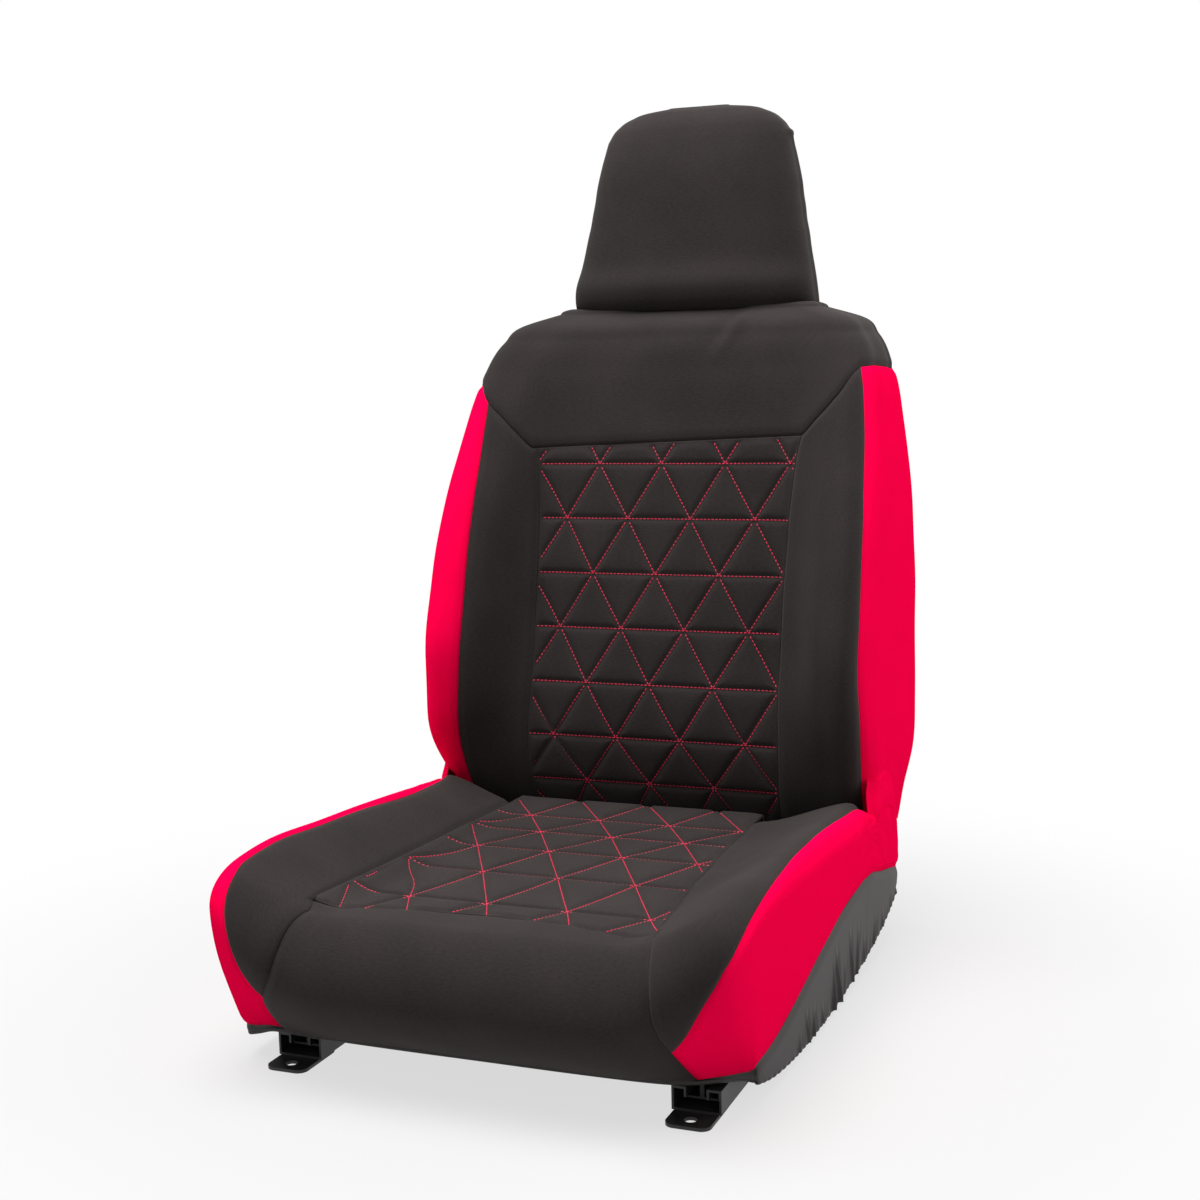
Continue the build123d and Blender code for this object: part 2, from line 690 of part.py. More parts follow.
with BuildPart() as back_yoke:
    add(front_pads.part)
    seam_left = [(-x, z) for x, z in reversed(YOKE_SEAM)]
    add(prism_y([(-FAR, junction_z + 3)] + seam_left + YOKE_SEAM
                + [(FAR, junction_z + 3), (FAR, 760), (-FAR, 760)], 60, FAR + 200),
        mode=Mode.INTERSECT)
save(back_yoke.part, "back_yoke")

for name, side in SIDES.items():
    seam = [(side * x, z) for x, z in YOKE_SEAM]
    with BuildPart() as back_bolster:
        add(front_pads.part)
        add(prism_y([(side * quilt_half_width, 60), *seam, (side * side_seam_bottom_x, 161),
                     (side * side_seam_bottom_x, 60)], 60, FAR + 100), mode=Mode.INTERSECT)
    save(back_bolster.part, f"back_bolster_{name}")
    with BuildPart() as back_side:
        add(front_pads.part)
        add(prism_y([(side * side_seam_bottom_x, 60), (side * side_seam_bottom_x, 161),
                     (side * side_seam_top_x, junction_z), (side * FAR, junction_z + 3), (side * FAR, 60)],
                    60, FAR + 100), mode=Mode.INTERSECT)
    save(back_side.part, f"back_red_side_{name}")

# ---------------------------------------------------------------- backrest frame
hoop_leg_x = back_plate_x - tube_radius
hoop_foot_z = 440.0
with BuildPart() as back_hoop_tube:
    foot_y = hoop_y - (hoop_z - hoop_foot_z) * tan(lean)
    with BuildLine() as hoop_path:
        FilletPolyline(
            (-hoop_leg_x, foot_y, hoop_foot_z), (-hoop_leg_x, hoop_y - 40 * tan(lean), hoop_z - 40),
            (-hoop_leg_x + 40, hoop_y, hoop_z), (hoop_leg_x - 40, hoop_y, hoop_z),
            (hoop_leg_x, hoop_y - 40 * tan(lean), hoop_z - 40), (hoop_leg_x, foot_y, hoop_foot_z),
            radius=45,
        )
    with BuildSketch(Plane(origin=(-hoop_leg_x, foot_y, hoop_foot_z), z_dir=lean_dir)):
        Circle(tube_radius)
        Circle(tube_radius - tube_wall, mode=Mode.SUBTRACT)
    sweep(path=hoop_path.line)
save(back_hoop_tube.part, "back_hoop_tube")

SIDE_MEMBER = [
    (hinge_y - 34, hinge_z + 20), (226, 190), (250, 300), (268, 440), (292, 545),
    (325, 545), (326, 440), (322, 300), (300, 180), (hinge_y + 44, hinge_z - 8),
    (hinge_y + 6, hinge_z - 42), (hinge_y - 30, hinge_z - 24),
]
for name, side in SIDES.items():
    start = back_plate_x if side > 0 else -back_plate_x - plate
    with BuildPart() as back_side_member:
        with BuildSketch(Plane.YZ.offset(start)):
            with BuildLine():
                Polyline(*SIDE_MEMBER, close=True)
            make_face()
            fillet(vertices(), 7)
            with Locations((hinge_y, hinge_z)):
                Circle(shaft_radius + running_clearance, mode=Mode.SUBTRACT)
            with Locations((262, 215), (290, 300), (300, 375)):
                Circle(10, mode=Mode.SUBTRACT)
        extrude(amount=plate)
    save(back_side_member.part, f"back_side_member_{name}")

with BuildPart() as lower_cross_member:
    with BuildSketch(Plane.YZ.offset(-back_plate_x)):
        with BuildLine():
            FilletPolyline((262, 160), (292, 168), (296, 208), (276, 222), radius=5)
        trace(line_width=plate)
    extrude(amount=2 * back_plate_x)
save(lower_cross_member.part, "back_lower_cross_member")

def mat_y(z):
    """The y of the lumbar mat's wires at height z, just behind the pads."""
    return 249 + (z - 300) * 16 / 130 + 3


with BuildPart() as lumbar_mat:
    for level in range(5):
        z = 262 + 42 * level
        with BuildSketch(Plane.YZ.offset(-back_plate_x)):
            with Locations((mat_y(z), z)):
                Circle(1.8)
        extrude(amount=2 * back_plate_x)
    for x0 in (-90, 90):
        with BuildLine() as rib:
            Line((x0, mat_y(256) + 2.9, 256), (x0, mat_y(436) + 2.9, 436))
        with BuildSketch(Plane(origin=rib.line @ 0, z_dir=rib.line % 0)):
            Circle(1.4)
        sweep(path=rib.line)
save(lumbar_mat.part, "lumbar_mat")

with BuildPart() as guide_tubes:
    for x0 in (-post_spacing / 2, post_spacing / 2):
        with BuildSketch(lean_plane(guide_bottom_z, x0)):
            Circle(guide_radius)
            Circle(guide_bore, mode=Mode.SUBTRACT)
        extrude(amount=(guide_top_z - guide_bottom_z) / cos(lean))
save(guide_tubes.part, "headrest_guide_tubes")

collar_radius = 11.0
collar_z = back_top_z + 0.3 + collar_radius * sin(lean)
for name, side in SIDES.items():
    with BuildPart() as guide_bush:
        with BuildSketch(lean_plane(guide_bottom_z + 6, side * post_spacing / 2)):
            Circle(guide_bore - 0.05)
            Circle(post_radius + running_clearance, mode=Mode.SUBTRACT)
        extrude(amount=(collar_z - guide_bottom_z - 6) / cos(lean))
        with BuildSketch(lean_plane(collar_z, side * post_spacing / 2)):
            Circle(collar_radius)
            Circle(post_radius + running_clearance, mode=Mode.SUBTRACT)
        extrude(amount=2.5)
    save(guide_bush.part, f"headrest_guide_bush_{name}")

# ---------------------------------------------------------------- headrest
with BuildPart() as headrest_posts:
    leg_x = post_spacing / 2
    with BuildLine() as post_path:
        FilletPolyline(
            post_point(585, -leg_x), post_point(800, -leg_x), post_point(800, leg_x),
            post_point(585, leg_x), radius=24,
        )
    with BuildSketch(lean_plane(585, -leg_x)):
        Circle(post_radius)
    sweep(path=post_path.line)
    for index in range(notch_count):
        with Locations(lean_plane(598 + index * notch_pitch, leg_x + post_radius)):
            Box(3, 14, 4, mode=Mode.SUBTRACT)
save(headrest_posts.part, "headrest_posts")

with BuildPart() as headrest_core:
    with BuildSketch(lean_plane(712)):
        RectangleRounded(192, 34, 15)
    extrude(amount=126)
    add(headrest_posts.part, mode=Mode.SUBTRACT)
save(headrest_core.part, "headrest_core")

with BuildPart() as core_room:
    with BuildSketch(lean_plane(712 - 0.3)):
        RectangleRounded(192.6, 34.6, 15)
    extrude(amount=126.6)
    for x0 in (-leg_x, leg_x):
        with BuildSketch(lean_plane(640, x0)):
            Circle(post_radius + 0.5)
        extrude(amount=80)

with BuildPart() as headrest_foam:
    add(headrest_form(cover_thickness + 1.2, cover_thickness + 1.2))
    add(core_room.part, mode=Mode.SUBTRACT)
save(headrest_foam.part, "headrest_foam")

with BuildPart() as headrest_hood:
    add(headrest_form(0, 0))
    add(headrest_form(cover_thickness, cover_thickness), mode=Mode.SUBTRACT)
save(headrest_hood.part, "headrest_hood")
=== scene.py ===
"""Dressing of a front car seat: fitted two-colour cover, red lattice stitching, metalwork finishes and stage.

The seat faces -Y, +Z is up and +X is the sitter's left.  Shapes are worked out in millimetres and put into
their meshes in metres.
"""
import math

import bpy
import numpy as np
from bpy.props import FloatProperty, FloatVectorProperty, PointerProperty
from mathutils import Matrix, Vector


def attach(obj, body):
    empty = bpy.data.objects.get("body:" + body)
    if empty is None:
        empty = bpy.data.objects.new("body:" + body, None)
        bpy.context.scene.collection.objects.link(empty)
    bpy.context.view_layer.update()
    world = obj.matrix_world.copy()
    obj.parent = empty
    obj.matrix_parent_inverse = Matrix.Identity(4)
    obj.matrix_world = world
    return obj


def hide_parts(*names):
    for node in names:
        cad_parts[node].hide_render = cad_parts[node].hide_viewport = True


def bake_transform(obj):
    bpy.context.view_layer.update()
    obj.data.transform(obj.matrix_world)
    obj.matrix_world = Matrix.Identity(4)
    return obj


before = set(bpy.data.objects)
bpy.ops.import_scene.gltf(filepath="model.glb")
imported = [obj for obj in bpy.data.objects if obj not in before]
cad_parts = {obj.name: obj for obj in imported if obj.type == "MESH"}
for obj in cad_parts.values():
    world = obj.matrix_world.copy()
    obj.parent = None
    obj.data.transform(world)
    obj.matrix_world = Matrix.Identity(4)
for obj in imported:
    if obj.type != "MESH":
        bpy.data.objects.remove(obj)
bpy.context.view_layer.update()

bl_info = {
    "name": "Covered car seat",
    "version": (1, 0, 0),
    "blender": (4, 5, 0),
    "location": "View3D > Sidebar > Seat",
    "description": "Dresses the packed seat frame with its cover, stitching, finishes and stage",
    "category": "Object",
}

METRES = 0.001
SIDES = {"left": 1, "right": -1}

# ------------------------------------------------------------------ driving sizes, in millimetres
HINGE_Y, HINGE_Z = 215.0, 100.0
HINGE_CLEAR = 74.5            # the backrest's wide part keeps this far from the hinge
NARROW_HALF = 230.5           # half width of the backrest's foot, between the cushion's sides
BACK_BOTTOM = 120.0
BACK_TOP = 675.0
BACK_RIDGE = (350.0, 681.5)   # y and z of the closed line along the top

# backrest stations: z, half width as a part of 249, front at the middle, front at the bolsters, rear
BACK_STATIONS = np.array([
    (120, 0.93, 222, 218, 334), (150, 0.945, 203, 197, 345), (200, 0.975, 190, 172, 354),
    (255, 0.99, 192, 148, 358), (306, 0.995, 203, 141, 360), (390, 0.99, 222, 160, 365),
    (476, 0.972, 243, 194, 370), (550, 0.934, 260, 232, 373), (610, 0.885, 276, 264, 377),
    (645, 0.82, 288, 285, 381), (664, 0.745, 302, 302, 381), (675, 0.60, 326, 326, 374)], float)
BACK_HALF = 249.0
# round each half: width as a part of the half width, and how far back its bolster's corner points lie.  The
# sitter's right is fuller, where the cover is pulled further round.
BACK_ACROSS = {1: np.array([0, 0.30, 0.58, 0.77, 0.90, 0.985, 1.0, 1.01, 0.96, 0.50, 0]),
               -1: np.array([0, 0.30, 0.58, 0.77, 0.93, 1.0, 1.015, 1.01, 0.93, 0.50, 0])}
BACK_CORNER = {1: (0.17, 0.45), -1: (0.09, 0.36)}
BACK_LAST = len(BACK_ACROSS[1]) - 1
# beside the hinge each side stands out by this much more, most at one height and over a reach about it
LOW_SPREAD = {1: 3.5, -1: 6.0}
LOW_SPREAD_Z, LOW_SPREAD_REACH = 205.0, 60.0
BAND_FACE = 248.3             # x of the cushion's red side beside the hinge
FOOT_Y = 278.0                # y of the middle line of the backrest's foot
BACK_SEAMS = (True, True, False, True)      # a panel of the backrest has no seam at its foot

# headrest stations: z, half width, middle y, half depth
HEAD_STATIONS = np.array([
    (675, 141, 364, 45), (720, 134, 370, 47.5), (770, 124, 376, 47), (850, 109, 386, 41),
    (868, 103.5, 388, 36), (881, 95, 389, 30), (891, 80, 390, 22), (897, 60, 390, 14), (900, 36, 390, 7)],
    float)
HEAD_TOP = 900.0
HOOD_HEM = 676.5
FOAM_INSET = 8.0              # the headrest's foam is this much smaller than its hood

# Cushion lines, all on the same 18 stations that run from the middle of the nose round to the hinge.
STEPS = np.arange(18.0)
OUTLINE = np.array([
    (0, -303), (80, -303), (150, -302), (188, -299), (215, -291), (234, -277), (243, -256), (246, -222),
    (246, -150), (246, -60), (246, 50), (246, 133), (246.5, 157), (247, 180), (247.5, 215), (247.5, 250),
    (247, 280), (246.5, 290)], float)
QUILT_Y = np.array([-204, -211, -222, -238, -224, -206, -184, -158, -110, -40, 60, 130, 152, 168, 180, 186,
                    190, 194], float)
QUILT_X = {1: np.array([0, 72, 118, 161, 158.5, 155, 150, 145, 138, 128, 124, 125, 125, 126, 126, 126, 126,
                        126], float),
           -1: np.array([0, 72, 118, 161, 161, 160.5, 160, 160, 160, 159, 157, 152, 150, 149, 148, 148, 148,
                         148], float)}
# the front corner on the sitter's right is squarer: what is added to the outline there, and its higher top
FULL_CORNER = np.array([
    (0, 0), (0, 0), (0, 0), (0, -1), (1, -4), (2, -9), (5, -10), (6, -8), (4, 0), (3, 0), (2, 0), (1, 0),
    (0, 0), (0, 0), (0, 0), (0, 0), (0, 0), (0, 0)], float)
FULL_TOP = 6.0
EDGE_ROUND = np.array([52, 52, 51, 48, 44, 38, 33, 29, 28, 28, 28, 28, 28, 28, 28, 28, 28, 28], float)
TUCK_IN = np.array([0, 0, 0, 2, 6, 12, 14, 12, 9, 7, 6, 6, 6, 6, 5, 4, 4, 4], float)
TUCK_BACK = np.array([64, 64, 65, 67, 72, 80, 66, 36, 10, 0, 0, 0, 0, 0, 0, 0, 0, 0], float)
QUILT_END = 184.0             # y at which the cushion's quilted panel turns down behind
BOLSTER_END = 12.1            # station at which its bolsters do
HEM_HEIGHT = np.array([30, 30, 30, 30.5, 30.5, 25, 22, 20, 12, 7, 8, 14, 16, 20, 28, 38, 46, 50], float)

# folds of the elastic skirt, which is about 50 high: place along the hem, reach upwards and strength
SKIRT_HEIGHT = 50.0
SKIRT_FOLDS = (
    (168, 22, 0.5), (196, 34, 1.1), (212, 26, 0.9), (246, 20, 0.5), (281, 38, 1.2), (303, 44, 1.3),
    (322, 24, 0.7), (352, 40, 1.25), (371, 34, 1.0), (402, 22, 0.5), (440, 26, 0.5), (476, 22, 0.4),
    (505, 26, 0.5), (540, 20, 0.4), (572, 22, 0.4))

# lattice of quilting lines: height or depth of each row, and where one of its nodes lies across
BACK_ROWS = [(110, -39.5), (170, -4), (221, -39.5), (279, -4), (337, -39.5), (395, -4), (453.5, -39.5),
             (512, -4), (570, -39.5)]
BACK_PITCH = 71.6
CUSHION_ROWS = [(-250, 14), (-168, -24.5), (-66, 0.5), (16, -44.5), (76, -1.5), (126, -34.5), (188, -3),
                (250, -40)]
CUSHION_PITCH = 78.0
STITCH_PITCH = 4.3
THREAD_RADIUS = 0.62
BEAD_POINTS = 14
PILLOW_FADE = 7.0             # the quilted pillows die out over this distance from a seam
PULL_START = -100.0           # the cushion's lattice is drawn together beyond this x


# ------------------------------------------------------------------ curves
def follow(at, stations, values):
    """Cubic Hermite curve through the stations, with central differences as slopes, level past the ends."""
    stations = np.asarray(stations, float)
    values = np.asarray(values, float)
    at = np.clip(np.asarray(at, float), stations[0], stations[-1])
    slope = np.gradient(values, stations)
    k = np.clip(np.searchsorted(stations, at, side="right") - 1, 0, len(stations) - 2)
    h = stations[k + 1] - stations[k]
    t = (at - stations[k]) / h
    rise = t * t * (3 - 2 * t)
    return ((1 - rise) * values[k] + rise * values[k + 1]
            + h * t * (1 - t) * ((1 - t) * slope[k] - t * slope[k + 1]))


def ease(x, start, end):
    """Smooth step from 0 at start to 1 at end."""
    t = np.clip((np.asarray(x, float) - start) / (end - start), 0, 1)
    return t * t * (3 - 2 * t)


def bell(x, width):
    """Gaussian bump of height 1 at 0."""
    return np.exp(-(np.asarray(x, float) / width) ** 2)


def ripple(x, y, z, length):
    """Soft unevenness between -1 and 1, a sum of slanted sine waves about that long."""
    k = 2 * math.pi / length
    return (np.sin(k * (x + 0.6 * z) + 1.3) + np.sin(k * (0.7 * y - 1.1 * z) + 0.4)
            + np.sin(k * (0.5 * x + 0.9 * y + 0.8 * z) + 2.2)) / 3


def closed_section(u, across, along):
    """Catmull-Rom curve round a section that is mirrored in x.  Index k of its half lies at u = k."""
    last = len(across) - 1
    u = (np.asarray(u, float) + last) % (2 * last) - last
    side = np.where(u < 0, -1.0, 1.0)
    a = np.abs(u)
    k = np.minimum(a.astype(int), last - 1)
    t = a - k
    column = np.arange(u.size)
    result = []
    for values, mirror in ((across, -1), (along, 1)):
        ends = np.concatenate([mirror * values[1:2], values, mirror * values[-2:-1]])
        p = [ends[k + i, column] for i in range(4)]
        result.append(0.5 * (2 * p[1] + (p[2] - p[0]) * t + (2 * p[0] - 5 * p[1] + 4 * p[2] - p[3]) * t ** 2
                             + (3 * p[1] - p[0] - 3 * p[2] + p[3]) * t ** 3))
    return side * result[0], result[1]


# ------------------------------------------------------------------ meshes
def spans(points):
    """Running lengths along the columns and along the rows of a grid of points."""
    across = np.zeros(points.shape[:2])
    across[:, 1:] = np.cumsum(np.linalg.norm(np.diff(points, axis=1), axis=2), axis=1)
    up = np.zeros(points.shape[:2])
    up[1:] = np.cumsum(np.linalg.norm(np.diff(points, axis=0), axis=2), axis=0)
    return across, up


def grid_normals(points, flip=False):
    """Unit normals of a grid: along a row crossed with up a column."""
    normal = np.cross(np.gradient(points, axis=1), np.gradient(points, axis=0))
    length = np.linalg.norm(normal, axis=2, keepdims=True)
    return normal / np.maximum(length, 1e-9) * (-1 if flip else 1)


def grid_object(name, points, flip=False, close=False):
    """Mesh of quads over a grid of points in millimetres, with its lengths in metres as the UV map."""
    rows, cols = points.shape[:2]
    across, up = spans(points)
    r, c = np.meshgrid(np.arange(rows - 1), np.arange(cols if close else cols - 1), indexing="ij")
    c_next = (c + 1) % cols
    quads = np.stack([r * cols + c, r * cols + c_next, (r + 1) * cols + c_next, (r + 1) * cols + c], -1)
    quads = quads.reshape(-1, 4)
    if flip:
        quads = quads[:, ::-1]
    mesh = bpy.data.meshes.new(name)
    mesh.from_pydata((points.reshape(-1, 3) * METRES).tolist(), [], quads.tolist())
    mesh.polygons.foreach_set("use_smooth", np.ones(len(quads), bool))
    uv = np.stack([across.ravel(), up.ravel()], -1)[quads.ravel()] * METRES
    mesh.uv_layers.new(name="Cloth").data.foreach_set("uv", uv.ravel())
    piece = bpy.data.objects.new(name, mesh)
    bpy.context.scene.collection.objects.link(piece)
    return piece


def add_wall(piece, millimetres):
    """Gives a sheet its thickness, inwards."""
    wall = piece.modifiers.new("Wall", "SOLIDIFY")
    wall.thickness = millimetres * METRES
    wall.offset = -1.0
    wall.use_even_offset = False


def seam_gap(points, edges=(True, True, True, True)):
    """Distance to the nearest seam.  The edges are the first and last column and the first and last row."""
    across, up = spans(points)
    gap = np.full(points.shape[:2], 1e3)
    for wanted, length in zip(edges, (across, across[:, -1:] - across, up, up[-1:] - up)):
        if wanted:
            gap = np.minimum(gap, length)
    return gap


def seam_groove(points, depth, width, edges=(True, True, True, True)):
    """How far the cloth is drawn in near its seams."""
    return -depth * bell(seam_gap(points, edges), width)


def raised(grid, relief, flip=False):
    """The grid moved along its normals by its relief."""
    return grid + grid_normals(grid, flip) * relief[..., None]


def cover_panel(name, grid, wall, material, body, *nodes, flip=False, close=False, slot="black_cloth",
                fill=0.85):
    """Makes a padded piece from its grid: mesh, wall, finish, body and the CAD node that it stands for."""
    piece = grid_object(name, grid, flip=flip, close=close)
    if wall:
        add_wall(piece, wall)
    piece.data.materials.append(material)
    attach(piece, body)
    if nodes:
        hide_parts(*nodes)


# ------------------------------------------------------------------ backrest surface
def back_size(z):
    """Half width, front at the middle, front at the bolsters and rear of the backrest at height z."""
    half, middle, bolster, rear = (follow(z, BACK_STATIONS[:, 0], BACK_STATIONS[:, i]) for i in range(1, 5))
    return BACK_HALF * half, middle, bolster, rear


def back_point(u, z):
    """Point of the backrest at signed index u round it and height z.

    The section has a flat middle, bolsters that stand forward and a rounded rear.  Near the hinge it is no
    wider than the space between the cushion's sides.
    """
    u, z = np.broadcast_arrays(np.asarray(u, float), np.asarray(z, float))
    flat_u, flat_z = u.ravel(), z.ravel()
    half, middle, bolster, rear = back_size(flat_z)
    depth = rear - bolster
    right = (flat_u + BACK_LAST) % (2 * BACK_LAST) < BACK_LAST
    near, far = (np.where(right, BACK_CORNER[-1][i], BACK_CORNER[1][i]) for i in range(2))
    # the sitter's right side also runs further forward down to the cushion
    ahead = right * 11 * bell(flat_z - 214, 40)
    along = np.stack([middle, middle, middle - 2, middle - 0.72 * (middle - bolster), bolster - 0.8 * ahead,
                      bolster + near * depth - ahead, bolster + far * depth - 0.8 * ahead,
                      bolster + 0.80 * depth, rear, rear + 5, rear + 6])
    across = np.where(right, BACK_ACROSS[-1][:, None], BACK_ACROSS[1][:, None])
    spread = np.where(right, LOW_SPREAD[-1], LOW_SPREAD[1])
    half = half + spread * bell(flat_z - LOW_SPREAD_Z, LOW_SPREAD_REACH)
    x, y = closed_section(flat_u, across * half, along)
    widest = NARROW_HALF + 40 * ease(np.hypot(y - HINGE_Y, flat_z - HINGE_Z), HINGE_CLEAR, HINGE_CLEAR + 26)
    x = np.clip(x, -widest, widest)
    return np.stack([x, y, flat_z], -1).reshape(*u.shape, 3)


ACROSS_INDEX = np.linspace(0, 5.8, 240)
ACROSS_SHARE = {
    side: closed_section(ACROSS_INDEX, *[np.repeat(shares[:, None], len(ACROSS_INDEX), 1)] * 2)[0]
    for side, shares in BACK_ACROSS.items()}


def index_across(x, z, side):
    """Index round the backrest at which the front of that side passes the distance x from the middle."""
    return np.interp(x / back_size(z)[0], ACROSS_SHARE[side], ACROSS_INDEX)


def quilt_seam(z, side):
    """Index of the seam between the quilted panel and a bolster."""
    x = follow(z, [120, 180, 260, 400, 480, 530, 560], [138, 139, 139, 140, 143, 149, 158])
    return index_across(x, z, side)


def side_seam(z, side):
    """Index of the seam between a bolster and the red side.  It lies further in on the sitter's right."""
    if side > 0:
        x = follow(z, [120, 184, 262, 342, 418, 495, 556, 597, 612, 660],
                   [226, 228, 235, 236, 234, 229, 222, 215, 211, 196])
    else:
        x = follow(z, [120, 172, 265, 348, 432, 538, 580, 600, 612, 660],
                   [213, 209, 205, 202, 203, 204, 206, 209, 210, 196])
    return index_across(x, z, side)


def rear_seam(z, side):
    """Index of the seam between the red side and the rear panel."""
    bolster, rear = back_size(z)[2:]
    y = follow(z, [60, 150, 255, 390, 550, 610, 642], [322, 331, 342, 348, 355, 360, 366])
    index = np.interp((y - bolster) / (rear - bolster), [0, 0.17, 0.45, 0.80, 1.0], [4, 5, 6, 7, 8])
    return index + (0.6 * (1 - ease(z, 590, 640)) if side > 0 else 0)


YOKE_LINE = [(0, 535), (152, 535), (156, 538), (167, 550), (187, 572), (200, 588), (208, 600), (213, 605)]
YOKE_INDEX = [float(index_across(x, z, 1)) for x, z in YOKE_LINE] + [5.7, 6.6, 7.4, 8.0, 8.7, BACK_LAST]
YOKE_HEIGHT = [z for _, z in YOKE_LINE] + [606, 604, 605, 609, 634, 642]


def yoke_seam(u):
    """Height of the yoke's lower seam at signed index u.  It is cut a little higher on the sitter's left."""
    a = np.abs(u)
    tilt = 6 * np.sign(u) * np.minimum(a / 2.3, 1) * (1 - ease(a, 6.5, 8))
    return np.interp(a, YOKE_INDEX, YOKE_HEIGHT) + tilt


def back_panel(first, last, cols, rows):
    """Grid of points between two seams, given as index functions, from the foot up to the yoke's seam."""
    a = np.linspace(0, 1, cols)[None, :]
    b = np.linspace(0, 1, rows)[:, None]
    top = np.full((1, cols), 570.0)
    for _ in range(12):
        top = yoke_seam(first(top) + (last(top) - first(top)) * a)
    z = BACK_BOTTOM + (top - BACK_BOTTOM) * b
    return back_point(first(z) + (last(z) - first(z)) * a, z)


# ------------------------------------------------------------------ cushion surface
def cushion_top(x, y):
    """Height of the cushion's top: a dished middle that rises in a smooth step to the bolsters."""
    middle = follow(y, [-303, -245, -193, -100, 20, 120, 205, 290], [148, 151, 149, 145, 145, 149, 154, 158])
    bolster = follow(y, [-303, -277, -245, -193, -100, 20, 120, 205, 290],
                     [181, 184, 189, 194, 192, 186, 179, 176, 174])
    bolster = bolster + FULL_TOP * (x < 0) * (1 - ease(y, -60, 120))
    return middle + (bolster - middle) * ease(np.abs(x), 130, 236)


def cushion_point(s, t):
    """Point of the cushion's outside at signed station s, with t down from the quilt's edge to the hem.

    0 to 1 crosses the top, 1 to 2 turns over the rounded edge on a quarter circle, and 2 to 3 goes down the
    wall, which draws in under the seat towards the hem.
    """
    s, t = np.broadcast_arrays(np.asarray(s, float), np.asarray(t, float))
    side = np.where(s < 0, -1.0, 1.0)
    a = np.abs(s)
    edge_x = np.where(s < 0, np.interp(a, STEPS, QUILT_X[-1]), np.interp(a, STEPS, QUILT_X[1]))
    edge = np.stack([edge_x, np.interp(a, STEPS, QUILT_Y)], -1)
    rim = np.stack([follow(a, STEPS, OUTLINE[:, i]) + (s < 0) * follow(a, STEPS, FULL_CORNER[:, i])
                    for i in range(2)], -1)
    reach = np.linalg.norm(rim - edge, axis=-1)
    round_r = np.minimum(follow(a, STEPS, EDGE_ROUND) - 5 * (s < 0) * bell(a - 5.5, 2), reach * 0.85)
    turn = np.clip(t - 1, 0, 1) * math.pi / 2
    out = np.clip(t, 0, 1) * (reach - round_r) + round_r * np.sin(turn)
    place = edge + (rim - edge) * (out / reach)[..., None]
    z = cushion_top(place[..., 0], place[..., 1]) - round_r * (1 - np.cos(turn))
    down = np.clip(t - 2, 0, 1)
    z = z + (follow(a, STEPS, HEM_HEIGHT) - z) * down
    # the wall is steeper at the squarer corner
    steep = (s < 0) * bell(a - 6, 2.2)
    x = place[..., 0] - follow(a, STEPS, TUCK_IN) * (1 - 0.6 * steep) * down ** 1.7
    y = place[..., 1] + follow(a, STEPS, TUCK_BACK) * (1 - 0.42 * steep) * down ** 1.7
    return np.stack([side * x, y, z], -1)


def roll_seam(t, side):
    """Station of the seam between the front roll and a bolster or red band, at t down from the quilt."""
    if side > 0:
        return follow(t, [0, 0.5, 1.1, 1.5, 1.8, 2.06, 2.31, 2.56, 3],
                      [3, 2.98, 2.86, 2.71, 2.68, 2.73, 2.83, 3.02, 3.28])
    return follow(t, [0, 0.47, 0.9, 1.34, 1.71, 2.05, 2.3, 2.52, 3],
                  [3, 2.80, 2.60, 2.42, 2.36, 2.50, 2.80, 3.17, 3.55])


# upper edge of the red band as station and t, on each side, and its lower edge on both
BAND_TOP = {
    1: np.array([(2.95, 2.56), (3.5, 2.41), (4, 2.24), (5, 2.00), (6, 1.79), (7, 1.65), (8, 1.52), (9, 1.36),
                 (10, 1.29), (11, 1.33), (12, 1.40), (13, 1.70), (14, 1.37), (15, 1.69), (16, 2.2),
                 (17, 2.5)]),
    -1: np.array([(3.1, 2.55), (3.59, 2.37), (3.85, 2.14), (4.05, 1.93), (4.4, 1.63), (5.2, 1.20), (6, 1.02),
                  (7, 0.95), (8, 0.99), (9, 1.02), (10, 0.96), (11, 1.10), (12, 1.30), (13, 1.70), (14, 1.37),
                  (15, 1.69), (16, 2.2), (17, 2.5)])}
BAND_FOOT = np.array([(2.95, 2.985), (3.5, 2.985), (4, 2.975), (5, 2.95), (6, 2.92), (7, 2.86), (8, 2.77),
                      (9, 2.60), (10, 2.42), (11, 2.36), (12, 2.36), (13, 2.38), (14, 2.47), (15, 2.57),
                      (16, 2.68), (17, 2.72)])


def quilt_edge(s, _):
    """The quilted panel's edge, where every line down the cushion starts."""
    return 0 * np.asarray(s)


def band_top(s, side):
    """How far down the red band starts."""
    return follow(s, *BAND_TOP[side].T)


def band_foot(s, _):
    """How far down the red band ends and the elastic skirt starts, alike on both sides."""
    return follow(s, *BAND_FOOT.T)


def hem_line(s, _):
    """The hem, where every line down the cushion ends."""
    return 3 + 0 * np.asarray(s)


def quilt_half(x, y):
    """Half width at y of the cushion's quilted panel, on the side where x lies, behind its front corners."""
    return np.where(x < 0, *(np.interp(y, QUILT_Y[3:], QUILT_X[side][3:]) for side in (-1, 1)))


def even_stations(start, end, count):
    """Stations whose points on the outline are evenly spaced."""
    dense = np.linspace(start, end, 600)
    rim = np.stack([follow(dense, STEPS, OUTLINE[:, i]) for i in range(2)], -1)
    length = np.concatenate([[0], np.cumsum(np.linalg.norm(np.diff(rim, axis=0), axis=1))])
    return np.interp(np.linspace(0, length[-1], count), length, dense)


